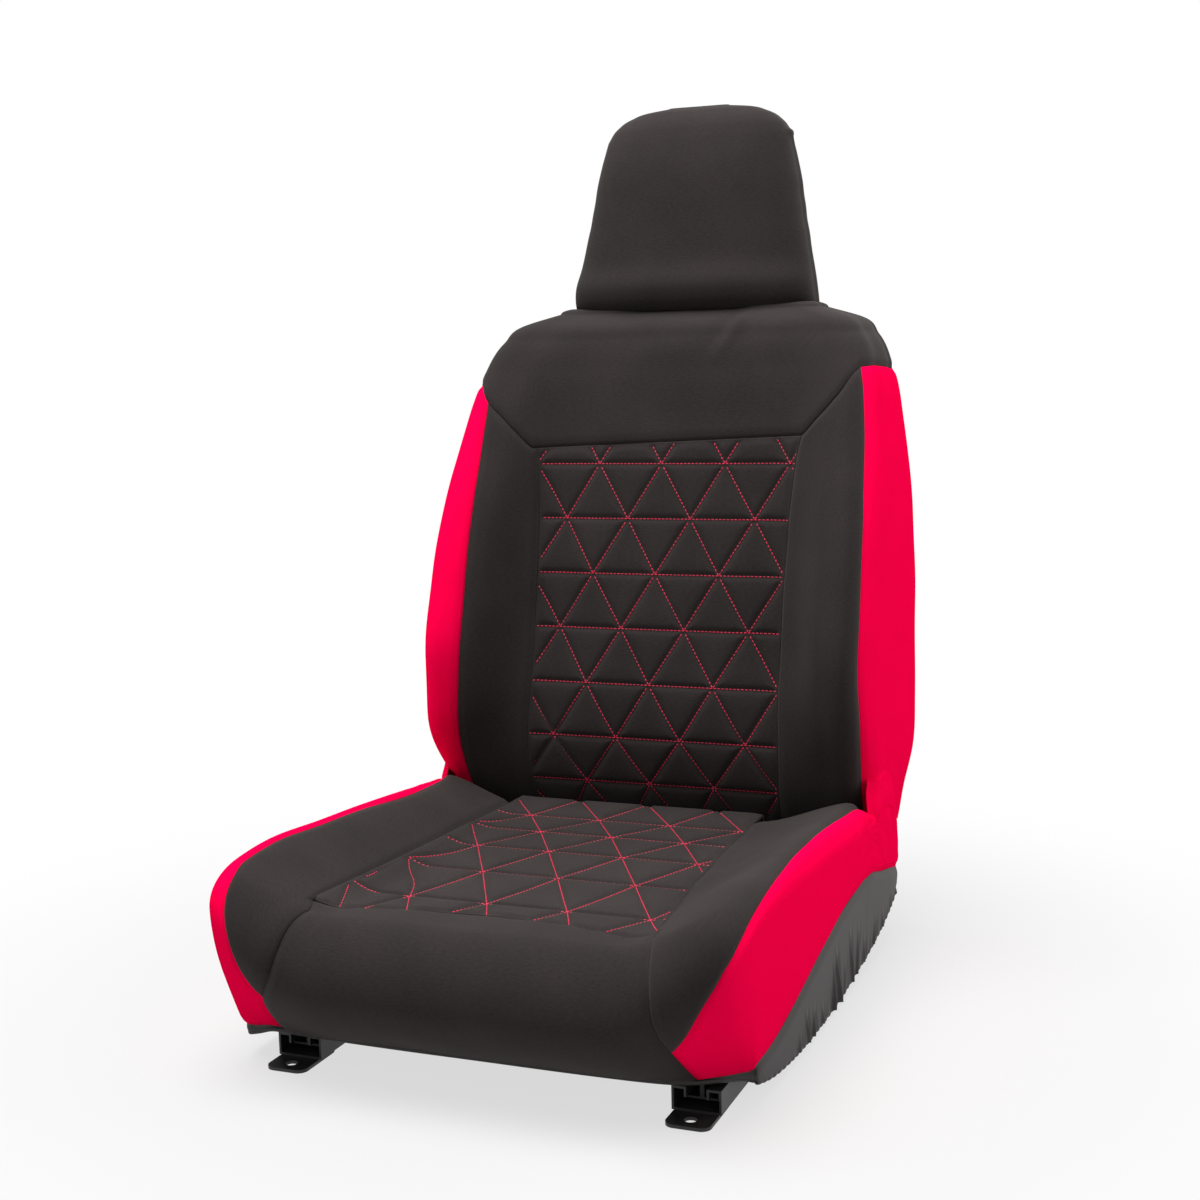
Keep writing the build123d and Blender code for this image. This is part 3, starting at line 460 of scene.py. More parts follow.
def cushion_panel(side, upper, lower, last_station, cols, rows):
    """Grid from the front roll's seam back to a station, between two lines given as t of s, and its t."""
    even = even_stations(3.0, last_station, cols)
    a = ((even - 3.0) / (last_station - 3.0))[None, :]
    b = np.linspace(0, 1, rows)[:, None]
    s = np.broadcast_to(even[None, :], (rows, cols))
    for _ in range(24):
        t = upper(s, side) + (lower(s, side) - upper(s, side)) * b
        start = roll_seam(t, side)
        s = 0.5 * s + 0.5 * (start + (last_station - start) * a)
    return cushion_point(side * s, t), t


# ------------------------------------------------------------------ quilting
def lattice(rows, pitch, reach):
    """Quilting lines as segments x0, t0, x1, t1: along each row, and from each node to the next row."""
    lines = []
    for (t, node), (t_next, node_next) in zip(rows[:-1], rows[1:]):
        lines.append((-reach, t, reach, t))
        nodes = node + pitch * np.arange(-4, 5)
        nodes_next = node_next + pitch * np.arange(-5, 6)
        for x in nodes:
            for x_next in nodes_next[np.abs(nodes_next - x) < 0.82 * pitch]:
                lines.append((x, t, x_next, t_next))
    return np.array(lines)


def pulled(x, y):
    """Share by which the cushion's lattice is drawn together near its front corner on the sitter's right."""
    return 0.32 * (x < PULL_START) * (1 - ease(y, -150, -80))


def to_lattice(x, y):
    """Place across in the regular lattice that belongs to a place on the cushion."""
    return x + pulled(x, y) * (x - PULL_START)


def from_lattice(x, y):
    """Place across on the cushion that belongs to a place in the regular lattice."""
    start = PULL_START * (x < PULL_START)
    return (x - start) / (1 + pulled(x, y)) + start


def line_distance(x, t, lines):
    """Distance from each place to the nearest quilting line."""
    nearest = np.full(np.shape(x), 1e3)
    for x0, t0, x1, t1 in lines:
        dx, dt = x1 - x0, t1 - t0
        k = np.clip(((x - x0) * dx + (t - t0) * dt) / (dx * dx + dt * dt), 0, 1)
        nearest = np.minimum(nearest, np.hypot(x - x0 - k * dx, t - t0 - k * dt))
    return nearest


def quilt_relief(x, t, lines, depth):
    """Padded pillows with a valley along each quilting line."""
    gap = line_distance(x, t, lines)
    return -depth * (0.55 * bell(gap, 3.2) + 0.45 * np.exp(-gap / 9.0))


def stitches(name, lines, surface, inside, depth, place=lambda x, t: x):
    """A short thread bead for each stitch, laid end to end along the quilting lines.

    A bead is a six-sided spindle: a tip, two rings of six points and a tip, stretched along its line on the
    surface.  place gives where a point of the lattice lies across.
    """
    centres, steps = [], []
    for x0, t0, x1, t1 in lines:
        length = math.hypot(x1 - x0, t1 - t0)
        k = (np.arange(int(length / STITCH_PITCH)) + 0.5) * STITCH_PITCH / length
        centres.append(np.stack([x0 + (x1 - x0) * k, t0 + (t1 - t0) * k], -1))
        steps.append(np.tile([(x1 - x0) / length, (t1 - t0) / length], (len(k), 1)))
    centres, steps = np.concatenate(centres), np.concatenate(steps)
    ends = centres + steps
    centres, ends = (np.stack([place(*at.T), at[:, 1]], -1) for at in (centres, ends))
    steps = ends - centres
    keep = inside(centres[:, 0], centres[:, 1])
    centres, steps = centres[keep], steps[keep]
    here = surface(centres[:, 0], centres[:, 1])
    ahead = surface(*(centres + steps).T) - here
    beside = surface(*(centres + steps[:, ::-1] * [-1, 1]).T) - here
    ahead /= np.linalg.norm(ahead, axis=1, keepdims=True)
    normal = np.cross(ahead, beside)
    normal /= np.linalg.norm(normal, axis=1, keepdims=True)
    beside = np.cross(normal, ahead)
    # the thread lies in its valley, a little proud of the bottom
    here = here - normal * (depth * 0.92)
    angles = np.arange(6) * math.pi / 3
    ring = THREAD_RADIUS * (np.cos(angles)[:, None, None] * beside + np.sin(angles)[:, None, None] * normal)
    half = 0.42 * STITCH_PITCH
    rings = [here[None] - ahead * half * 0.6 + ring, here[None] + ahead * half * 0.6 + ring]
    points = np.concatenate([(here - ahead * half)[None], *rings, (here + ahead * half)[None]])
    points = points.transpose(1, 0, 2).reshape(-1, 3)
    i = np.arange(6)
    j = (i + 1) % 6
    caps = np.concatenate([np.stack([0 * i, 1 + j, 1 + i], -1),
                           np.stack([0 * i + BEAD_POINTS - 1, 7 + i, 7 + j], -1)])
    sides = np.stack([1 + i, 1 + j, 7 + j, 7 + i], -1)
    offsets = BEAD_POINTS * np.arange(len(here))[:, None, None]
    faces = (caps[None] + offsets).reshape(-1, 3).tolist() + (sides[None] + offsets).reshape(-1, 4).tolist()
    mesh = bpy.data.meshes.new(name)
    mesh.from_pydata((points * METRES).tolist(), [], faces)
    mesh.polygons.foreach_set("use_smooth", np.ones(len(faces), bool))
    piece = bpy.data.objects.new(name, mesh)
    bpy.context.scene.collection.objects.link(piece)
    return piece


# ------------------------------------------------------------------ finishes
def linear(code):
    """Linear colour of an sRGB hex value."""
    channels = [int(code[i:i + 2], 16) / 255 for i in (1, 3, 5)]
    return tuple(c / 12.92 if c <= 0.04045 else ((c + 0.055) / 1.055) ** 2.4 for c in channels)


def add_node(tree, kind, values=None, links=None, **settings):
    """Adds one node, sets its settings and socket values, and links (node, socket) pairs into it."""
    node = tree.nodes.new(kind)
    for key, value in settings.items():
        setattr(node, key, value)
    for key, value in (values or {}).items():
        node.inputs[key].default_value = value
    for key, (source, socket) in (links or {}).items():
        tree.links.new(source.outputs[socket], node.inputs[key])
    return node


def new_material(name):
    """Empty node material, and its surface output."""
    material = bpy.data.materials.new(name)
    material.use_nodes = True
    material.node_tree.nodes.clear()
    return material, material.node_tree, add_node(material.node_tree, "ShaderNodeOutputMaterial")


def tones(tree, source, socket, low, dark, high, light):
    """Colour that runs between two tones as a node's value rises from low to high."""
    shade = add_node(tree, "ShaderNodeValToRGB", links={"Fac": (source, socket)})
    for element, position, colour in zip(shade.color_ramp.elements, (low, high), (dark, light)):
        element.position = position
        element.color = (*colour, 1)
    return shade


def cloth(name, dark, light, course, roughness, sheen, sheen_colour, bump, specular):
    """Knitted cloth: yarn flecks drawn out along its courses, of a height in metres, and uneven tone."""
    material, tree, output = new_material(name)
    uv = add_node(tree, "ShaderNodeUVMap", uv_map="Cloth")
    # flecks three courses long: finer ones would not show
    flecks = add_node(tree, "ShaderNodeMapping", {"Scale": (1 / (3 * course), 1 / course, 1)},
                      {"Vector": (uv, "UV")})
    yarn = add_node(tree, "ShaderNodeTexNoise", {"Scale": 1.0, "Detail": 3.0, "Roughness": 0.6},
                    {"Vector": (flecks, "Vector")})
    place = add_node(tree, "ShaderNodeTexCoord")
    # tone drifts over about 60 mm
    drift = add_node(tree, "ShaderNodeTexNoise", {"Scale": 16.0, "Detail": 2.0},
                     {"Vector": (place, "Object")})
    both = add_node(tree, "ShaderNodeMix", {"Factor": 0.35}, {"A": (yarn, "Fac"), "B": (drift, "Fac")})
    shade = tones(tree, both, "Result", 0.32, dark, 0.68, light)
    relief = add_node(tree, "ShaderNodeBump", {"Strength": 0.6, "Distance": bump}, {"Height": (yarn, "Fac")})
    surface = add_node(tree, "ShaderNodeBsdfPrincipled",
                       {"Roughness": roughness, "Sheen Weight": sheen, "Sheen Roughness": 0.45,
                        "Sheen Tint": (*sheen_colour, 1), "Specular IOR Level": specular},
                       {"Base Color": (shade, "Color"), "Normal": (relief, "Normal")})
    tree.links.new(surface.outputs["BSDF"], output.inputs["Surface"])
    return material


def hard_finish(name, dark, light, grain, roughness_low, roughness_high, metallic, bump):
    """Metal, paint or plastic: its tone and roughness drift with a grain of a real size, in metres."""
    material, tree, output = new_material(name)
    place = add_node(tree, "ShaderNodeTexCoord")
    noise = add_node(tree, "ShaderNodeTexNoise", {"Scale": 1 / grain, "Detail": 4.0},
                     {"Vector": (place, "Object")})
    shade = tones(tree, noise, "Fac", 0.3, dark, 0.7, light)
    gloss = add_node(tree, "ShaderNodeMapRange", {"To Min": roughness_low, "To Max": roughness_high},
                     {"Value": (noise, "Fac")})
    relief = add_node(tree, "ShaderNodeBump", {"Strength": 0.4, "Distance": bump}, {"Height": (noise, "Fac")})
    surface = add_node(tree, "ShaderNodeBsdfPrincipled", {"Metallic": metallic},
                       {"Base Color": (shade, "Color"), "Roughness": (gloss, "Result"),
                        "Normal": (relief, "Normal")})
    tree.links.new(surface.outputs["BSDF"], output.inputs["Surface"])
    return material


def finish_of(name):
    """The material with that name, made the first time that it is asked for."""
    found = bpy.data.materials.get(name)
    if found:
        return found
    seat = bpy.context.scene.seat_cover
    black, red = np.array(seat.black_colour), np.array(seat.red_colour)
    recipes = {
        # polyester knit backed with foam: matt, faint warm nap, courses of 1.6 mm across the seat
        "knitted_polyester_black": (cloth, black * 0.62, black * 1.35, 0.0016, 0.92, 0.14,
                                    linear("#8a8580"), 0.0002, 0.22),
        # the same knit in red: saturated, with hardly any nap
        "knitted_polyester_red": (cloth, red * 0.94, red, 0.0016, 0.9, 0.0, linear("#ff2050"), 0.00012, 0.0),
        # stretch elastane skirt: tighter and a little shinier than the knit
        "stretch_elastane_black": (cloth, black * 0.45, black * 0.8, 0.0011, 0.62, 0.12,
                                   linear("#9a9896"), 0.0001, 0.4),
        # twisted polyester thread: bright and slightly glossy, in turns of 1.2 mm
        "polyester_thread_red": (hard_finish, linear("#b8103a"), linear("#da1a48"), 0.0012, 0.45, 0.6, 0.0,
                                 0.0001),
        # moulded polyurethane foam with its skin: dark grey, with open cells of 2 mm
        "moulded_foam_grey": (hard_finish, linear("#2b2b2d"), linear("#3c3c3e"), 0.002, 0.85, 0.98, 0.0,
                              0.0004),
        # phosphated and painted pressed steel: black, low gloss, with 3 mm of orange peel
        "painted_steel_black": (hard_finish, linear("#131313"), linear("#1d1d1d"), 0.003, 0.38, 0.55, 0.0,
                                0.00005),
        # zinc-plated and passivated latch parts: bright grey with a tone that clouds over 12 mm
        "zinc_plated_steel": (hard_finish, linear("#9aa0a2"), linear("#b9bcb8"), 0.012, 0.30, 0.48, 1.0,
                              0.00002),
        # drawn spring steel wire and machined plates, oiled: dark grey with a draw grain of 4 mm
        "oiled_spring_steel": (hard_finish, linear("#5c5f60"), linear("#7d8082"), 0.004, 0.28, 0.42, 1.0,
                               0.00002),
        # polished chromium plate on the headrest's rods: nearly even
        "chromium_plate": (hard_finish, linear("#d8dadc"), linear("#e6e8ea"), 0.03, 0.05, 0.12, 1.0,
                           0.000005),
        # injection-moulded polypropylene with a fine leather grain of 1.2 mm
        "moulded_polypropylene_black": (hard_finish, linear("#161616"), linear("#202020"), 0.0012, 0.45, 0.62,
                                        0.0, 0.00008),
    }
    make, *values = recipes[name]
    return make(name, *values)


METALWORK = {
    "painted_steel_black": (
        "front_floor_feet", "rear_floor_feet", "cushion_side_member_left", "cushion_side_member_right",
        "front_pan", "front_cross_tube", "rear_cross_tube", "recliner_bracket_left",
        "recliner_bracket_right", "back_side_member_left", "back_side_member_right", "back_hoop_tube",
        "back_lower_cross_member", "headrest_guide_tubes", "towel_bar", "headrest_core", "lower_rail_left",
        "lower_rail_right", "upper_rail_left", "upper_rail_right"),
    "zinc_plated_steel": ("latch_plates", "latch_pivot_pins"),
    "oiled_spring_steel": (
        "seat_springs", "lumbar_mat", "recliner_fixed_disc_left", "recliner_fixed_disc_right",
        "recliner_turning_disc_left", "recliner_turning_disc_right", "recliner_cross_shaft"),
    "chromium_plate": ("headrest_posts",),
    "moulded_polypropylene_black": (
        "rail_glides", "headrest_guide_bush_left", "headrest_guide_bush_right", "recline_lever"),
}


# soft lights: name, place and aim in metres, side in metres, watts
LAMPS = (
    ("overhead_softbox", (-0.3, -0.3, 2.7), (0.0, 0.1, 0.3), 2.2, 112.0),
    ("left_strip", (2.3, 1.3, 1.3), (0.2, 0.1, 0.4), 1.4, 31.0),
    ("front_fill", (1.6, -2.6, 1.5), (0.0, 0.0, 0.4), 1.6, 4.0),
    ("side_strip", (-2.4, -0.6, 1.5), (0.0, 0.0, 0.4), 1.4, 6.0))
CAMERA_PLACE = (0.6612, -1.5711, 0.6256)      # metres
CAMERA_TURNS = (22.09, 7.65, -1.42)           # degrees to the left, down and round its axis
CAMERA_LENS = 54.0                            # millimetres


# ------------------------------------------------------------------ settings
class SeatCoverSettings(bpy.types.PropertyGroup):
    """Sizes and colours of the cover."""

    cloth_thickness: FloatProperty(
        name="Cloth thickness", description="Cover cloth with its foam backing", default=0.003,
        min=0.001, max=0.006, unit="LENGTH")
    seam_depth: FloatProperty(
        name="Seam depth", description="How far the cloth is drawn in along its seams", default=0.0024,
        min=0.0, max=0.006, unit="LENGTH")
    seam_width: FloatProperty(
        name="Seam width", description="Reach of the drawn-in cloth beside a seam", default=0.005,
        min=0.001, max=0.02, unit="LENGTH")
    quilt_depth: FloatProperty(
        name="Quilting depth", description="Depth of the stitched valleys", default=0.0034,
        min=0.0, max=0.01, unit="LENGTH")
    gather_depth: FloatProperty(
        name="Gather depth", description="Height of the folds in the elastic skirt", default=0.0042,
        min=0.0, max=0.01, unit="LENGTH")
    black_colour: FloatVectorProperty(
        name="Black cloth", description="Main colour of the cover", subtype="COLOR",
        default=linear("#262120"), min=0.0, max=1.0)
    red_colour: FloatVectorProperty(
        name="Red cloth", description="Colour of the side bands", subtype="COLOR",
        default=linear("#ff0247"), min=0.0, max=1.0)


# ------------------------------------------------------------------ operators
def cloth_sizes(seat):
    """Cloth thickness, and depth and width of the groove at a seam."""
    return seat.cloth_thickness / METRES, seat.seam_depth / METRES, seat.seam_width / METRES


class BackCover(bpy.types.Operator):
    """Makes the quilted panel, bolsters, red sides, yoke, rear panel and foot of the backrest."""

    bl_idname = "seat.back_cover"
    bl_label = "Backrest cover"

    def execute(self, context):
        seat = context.scene.seat_cover
        wall, depth, width = cloth_sizes(seat)
        black = finish_of("knitted_polyester_black")
        red = finish_of("knitted_polyester_red")

        grid = back_panel(lambda z: -quilt_seam(z, -1), lambda z: quilt_seam(z, 1), 131, 300)
        lines = lattice(BACK_ROWS, BACK_PITCH, 170)
        relief = quilt_relief(grid[..., 0], grid[..., 2], lines, seat.quilt_depth / METRES)
        # the pillows die out towards the seams, so that these stay straight
        relief = relief * ease(seam_gap(grid, BACK_SEAMS), 0, PILLOW_FADE)
        relief = relief + seam_groove(grid, depth, width, BACK_SEAMS)
        cover_panel("back_quilt_cover", raised(grid, relief), wall, black, "backrest", "back_quilt",
                    slot="quilted_black_cloth")

        for side_name, side in SIDES.items():
            seams = [lambda z, seam=seam: side * seam(z, side) for seam in (quilt_seam, side_seam, rear_seam)]
            bolster = back_panel(*seams[:2][::side], 61, 171)
            flank = back_panel(*seams[1:][::side], 71, 171)
            for name, grid, finish, slot in (("bolster", bolster, black, "black_cloth"),
                                             ("red_side", flank, red, "red_cloth")):
                sway = 0.5 * ripple(*np.moveaxis(grid, 2, 0), 95)
                if name == "red_side":
                    # slack cloth near the hinge lies in a few soft folds that fan out from it
                    turn = np.degrees(np.arctan2(grid[..., 1] - HINGE_Y, grid[..., 2] - HINGE_Z))
                    reach = np.hypot(grid[..., 1] - HINGE_Y, grid[..., 2] - HINGE_Z)
                    sway = sway + 1.3 * np.sin(turn / 4.6 + reach / 30) * (1 - ease(reach, 95, 170))
                relief = sway + seam_groove(grid, depth, width, BACK_SEAMS)
                cover_panel(f"back_{name}_{side_name}_cover", raised(grid, relief), wall, finish, "backrest",
                            f"back_{name}_{side_name}", slot=slot)

        # rear panel, which meets the red side further round on the sitter's left
        grid = back_panel(lambda z: rear_seam(z, 1), lambda z: 2 * BACK_LAST - rear_seam(z, -1), 121, 131)
        relief = seam_groove(grid, depth, width, BACK_SEAMS) + ripple(*np.moveaxis(grid, 2, 0), 160)
        cover_panel("back_rear_cover", raised(grid, relief), wall, black, "backrest", "back_rear_panel")

        self.yoke(depth, width, wall, black)
        self.foot(wall, black)
        return {"FINISHED"}

    def yoke(self, depth, width, wall, black):
        """Cap of the backrest: from its seam up to its top, then drawn together into a ridge."""
        u = np.linspace(-BACK_LAST, BACK_LAST, 321)[:-1][None, :]
        b = np.linspace(0, 1, 44)[:, None]
        z = yoke_seam(u) + (BACK_TOP - yoke_seam(u)) * (1 - (1 - b) ** 1.25)
        lower = back_point(np.broadcast_to(u, z.shape), z)
        rim = lower[-1:]
        c = (np.linspace(0, 1, 13)[1:] ** 1.1)[:, None]
        x = rim[..., 0] * (1 - 0.12 * c)
        y = rim[..., 1] + (BACK_RIDGE[0] - rim[..., 1]) * c
        top = BACK_TOP + (BACK_RIDGE[1] - BACK_TOP) * np.sqrt(1 - (1 - c) ** 2) + 0 * x
        grid = np.concatenate([lower, np.stack([x, y, top], -1)])
        front = 1 - ease(grid[..., 1], 300, 345)
        # a slack crease that leans away under the headrest, and two soft dents beside it
        lean = grid[..., 0] - 62 - 0.5 * (grid[..., 2] - 640)
        crease = 2.2 * bell(lean, 7) - 1.6 * bell(lean + 16, 10)
        crease = crease * bell(grid[..., 2] - 652, 22) * front
        dents = -1.8 * bell(grid[..., 0] + 70, 55) * bell(grid[..., 2] - 640, 18) * front
        relief = seam_groove(grid, depth, width, (False, False, True, False)) + crease + dents
        relief = relief + 0.6 * ripple(*np.moveaxis(grid, 2, 0), 130)
        relief[-6:] *= np.linspace(1, 0, 6)[:, None]
        cover_panel("back_yoke_cover", raised(grid, relief), wall, black, "backrest", "back_yoke", close=True)

    def foot(self, wall, black):
        """Closes the backrest's foot: the section at its lowest height shrinks to its middle line."""
        u = np.linspace(-BACK_LAST, BACK_LAST, 201)[:-1][None, :]
        rim = back_point(u, np.full(u.shape, BACK_BOTTOM))
        c = np.linspace(0, 1, 14)[:, None]
        x = rim[..., 0] * (1 - 0.3 * c)
        y = rim[..., 1] + (FOOT_Y - rim[..., 1]) * c
        z = BACK_BOTTOM - 5 * np.sin(math.pi / 2 * c) + 0 * x
        cover_panel("back_foot_cover", np.stack([x, y, z], -1), wall, black, "backrest", flip=True,
                    close=True)


class CushionCover(bpy.types.Operator):
    """Makes the quilted panel, front roll, bolsters, red bands, elastic skirts and hem of the cushion."""

    bl_idname = "seat.cushion_cover"
    bl_label = "Cushion cover"

    def execute(self, context):
        seat = context.scene.seat_cover
        wall, depth, width = cloth_sizes(seat)
        black = finish_of("knitted_polyester_black")
        red = finish_of("knitted_polyester_red")
        elastic = finish_of("stretch_elastane_black")

        self.quilt(seat, depth, width, wall, black)

        # front roll, between its two slanting seams
        t = np.linspace(0, 3, 91)[:, None]
        a = np.linspace(-1, 1, 161)[None, :]
        edge = np.where(a < 0, roll_seam(t, -1), roll_seam(t, 1))
        grid = cushion_point(edge * a, t)
        relief = seam_groove(grid, depth, width, (True, True, True, False))
        relief = relief + 0.9 * ripple(*np.moveaxis(grid, 2, 0), 140)
        cover_panel("cushion_front_roll_cover", raised(grid, relief, True), wall, black, "carriage",
                    "cushion_front_roll", flip=True)

        for side_name, side in SIDES.items():
            self.side_panels(seat, side_name, side, depth, width, wall, (black, red, elastic))
        self.hem(elastic)
        return {"FINISHED"}

    def quilt(self, seat, depth, width, wall, black):
        """Centre panel: a height field between its seams, rolled down at the rear."""
        a = np.linspace(-1, 1, 131)[None, :]
        b = np.linspace(0, 1, 300)[:, None]
        front = np.interp(np.abs(a), QUILT_X[1][:4] / QUILT_X[1][3], QUILT_Y[:4])
        y = front + (QUILT_END - front) * b
        # at the front the width stays that of the corner, so that the front seam keeps its curve
        x = a * quilt_half(a, y)
        grid = np.stack([x, y, cushion_top(x, y)], -1)
        lines = lattice(CUSHION_ROWS, CUSHION_PITCH, 190)
        relief = quilt_relief(to_lattice(x, y), y, lines, seat.quilt_depth / METRES)
        relief = relief * ease(seam_gap(grid, (True, True, True, False)), 0, PILLOW_FADE)
        relief = relief + seam_groove(grid, depth, width, (True, True, True, False))
        grid = raised(grid, relief)
        down = np.linspace(0, 1, 9)[1:, None]
        tail = grid[-1:] + np.stack([0 * down, 6 * np.sin(down * 1.57), -30 * down ** 1.5], -1)
        cover_panel("cushion_quilt_cover", np.concatenate([grid, tail]), wall, black, "carriage",
                    "cushion_quilt", slot="quilted_black_cloth")

    def side_panels(self, seat, side_name, side, depth, width, wall, finishes):
        """Bolster, red band and gathered skirt of one side."""
        black, red, elastic = finishes
        flip = side > 0

        # bolster, with its rear end turned down in front of the backrest's bolster
        grid, _ = cushion_panel(side, quilt_edge, band_top, BOLSTER_END, 170, 60)
        relief = seam_groove(grid, depth, width, (True, False, True, True))
        relief = relief + 0.7 * ripple(*np.moveaxis(grid, 2, 0), 120)
        grid = raised(grid, relief, flip)
        down = np.linspace(0, 1, 9)[None, 1:]
        tail = grid[:, -1:] + np.stack([0 * down, 9 * np.sin(down * 1.57), -36 * down ** 1.6], -1)
        cover_panel(f"cushion_bolster_{side_name}_cover", np.concatenate([grid, tail], 1), wall, black,
                    "carriage", f"cushion_bolster_{side_name}", flip=flip)

        # red band: fine wrinkles gather at its rear, where the cloth is pulled round
        grid, _ = cushion_panel(side, band_top, band_foot, 17, 220, 50)
        y, z = grid[..., 1], grid[..., 2]
        rear = ease(y, 40, 150)
        relief = seam_groove(grid, depth, width, (True, False, True, True))
        # they run in arcs round a point low behind the hinge, and die out at the seams
        arc = np.hypot(y - 165, z - 95)
        wrinkles = 0.30 * np.sin(arc * 0.8 + np.sin(y / 15)) + 0.5 * np.sin(arc / 4.6 + z / 40)
        relief = relief + rear * wrinkles * ease(seam_gap(grid), 2, 14)
        relief = relief + 0.6 * ripple(*np.moveaxis(grid, 2, 0), 110)
        cover_panel(f"cushion_red_band_{side_name}_cover", raised(grid, relief, flip), wall, red, "carriage",
                    f"cushion_red_band_{side_name}", flip=flip, slot="red_cloth")

        # elastic skirt: smooth at the front, with short sharp folds that rise from the hem along the side
        rows = 36
        grid, t = cushion_panel(side, band_foot, hem_line, 17, 560, rows)
        length = spans(grid)[0][-1:]
        share = (t - t[:1]) / np.maximum(3 - t[:1], 1e-6)
        folds = 0
        for k, (place, reach, strength) in enumerate(SKIRT_FOLDS):
            slant = (1 - share) * 14 * (1 if k % 2 else -0.5)
            line = length - place + slant
            rise = ease(share, 1 - reach / SKIRT_HEIGHT, 1.0)
            folds = folds + strength * (bell(line, 2.8) - 0.75 * bell(line - 5.5, 3.6)) * rise
        pucker = 0.16 * np.sin(length / 2.6 + 1.4 * np.sin(length / 17)) * ease(share, 0.7, 1.0)
        pucker = pucker * ease(length, 120, 190)
        room = ease(np.linspace(0, 1, rows)[:, None], 0.0, 0.25)
        relief = (folds + pucker) * room * seat.gather_depth / METRES * 0.8
        relief = relief + seam_groove(grid, depth, width, (True, False, True, False))
        cover_panel(f"cushion_skirt_{side_name}_cover", raised(grid, relief, flip), wall * 0.5, elastic,
                    "carriage", f"cushion_skirt_{side_name}", flip=flip, slot="elastic_black_cloth", fill=0.5)

    def hem(self, elastic):
        """Elastic bound into the hem: a ruffled round cord carried along the cover's lower edge."""
        right = even_stations(0, 17, 560)
        s = np.concatenate([-right[::-1], right[1:]])
        path = cushion_point(s, np.full(s.shape, 3.0))
        along = np.gradient(path, axis=0)
        along /= np.linalg.norm(along, axis=1, keepdims=True)
        out = np.cross(along, [0, 0, 1.0])
        out /= np.linalg.norm(out, axis=1, keepdims=True)
        up = np.cross(out, along)
        length = np.concatenate([[0], np.cumsum(np.linalg.norm(np.diff(path, axis=0), axis=1))])
        turn = np.linspace(0, 2 * math.pi, 13)[:-1]
        radius = 2.6 + 0.4 * np.sin(length / 1.9 + 1.2 * np.sin(length / 23)) * ease(np.abs(s), 6.4, 8)
        ring = (np.cos(turn)[None, :, None] * out[:, None] + np.sin(turn)[None, :, None] * up[:, None])
        grid = path[:, None] - 2.2 * out[:, None] + ring * radius[:, None, None]
        start, end = (grid[k].mean(1, keepdims=True) + 0 * grid[:1] for k in (slice(0, 1), slice(-1, None)))
        cover_panel("cushion_hem_elastic", np.concatenate([start, grid, end]), 0, elastic, "carriage",
                    flip=True, close=True, slot="elastic_black_cloth", fill=0.9)


class Stitching(bpy.types.Operator):
    """Lays the red thread along the quilting lines of both panels."""

    bl_idname = "seat.stitching"
    bl_label = "Red stitching"

    def execute(self, context):
        seat = context.scene.seat_cover
        depth = seat.quilt_depth / METRES
        thread = finish_of("polyester_thread_red")

        def signed_index(x, z):
            return np.where(x < 0, -index_across(-x, z, -1), index_across(x, z, 1))

        def back_surface(x, z):
            return back_point(signed_index(x, z), z)

        def in_back_panel(x, z):
            u = signed_index(x, z)
            inside = (u > 0.035 - quilt_seam(z, -1)) & (u < quilt_seam(z, 1) - 0.035)
            return inside & (z < yoke_seam(u) - 3) & (z > BACK_BOTTOM + 25)

        def cushion_surface(x, y):
            return np.stack([x, y, cushion_top(x, y)], -1)

        def in_cushion_panel(x, y):
            front = np.interp(np.abs(x), QUILT_X[1][:4], QUILT_Y[:4])
            return (y > front + 3) & (y < QUILT_END - 2) & (np.abs(x) < quilt_half(x, y) - 3)

        for name, body, rows, pitch, surface, inside in (
                ("back_quilt_stitches", "backrest", BACK_ROWS, BACK_PITCH, back_surface, in_back_panel),
                ("cushion_quilt_stitches", "carriage", CUSHION_ROWS, CUSHION_PITCH, cushion_surface,
                 in_cushion_panel)):
            bend = {"place": from_lattice} if body == "carriage" else {}
            piece = stitches(name, lattice(rows, pitch, 190), surface, inside, depth, **bend)
            piece.data.materials.append(thread)
            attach(piece, body)
        return {"FINISHED"}


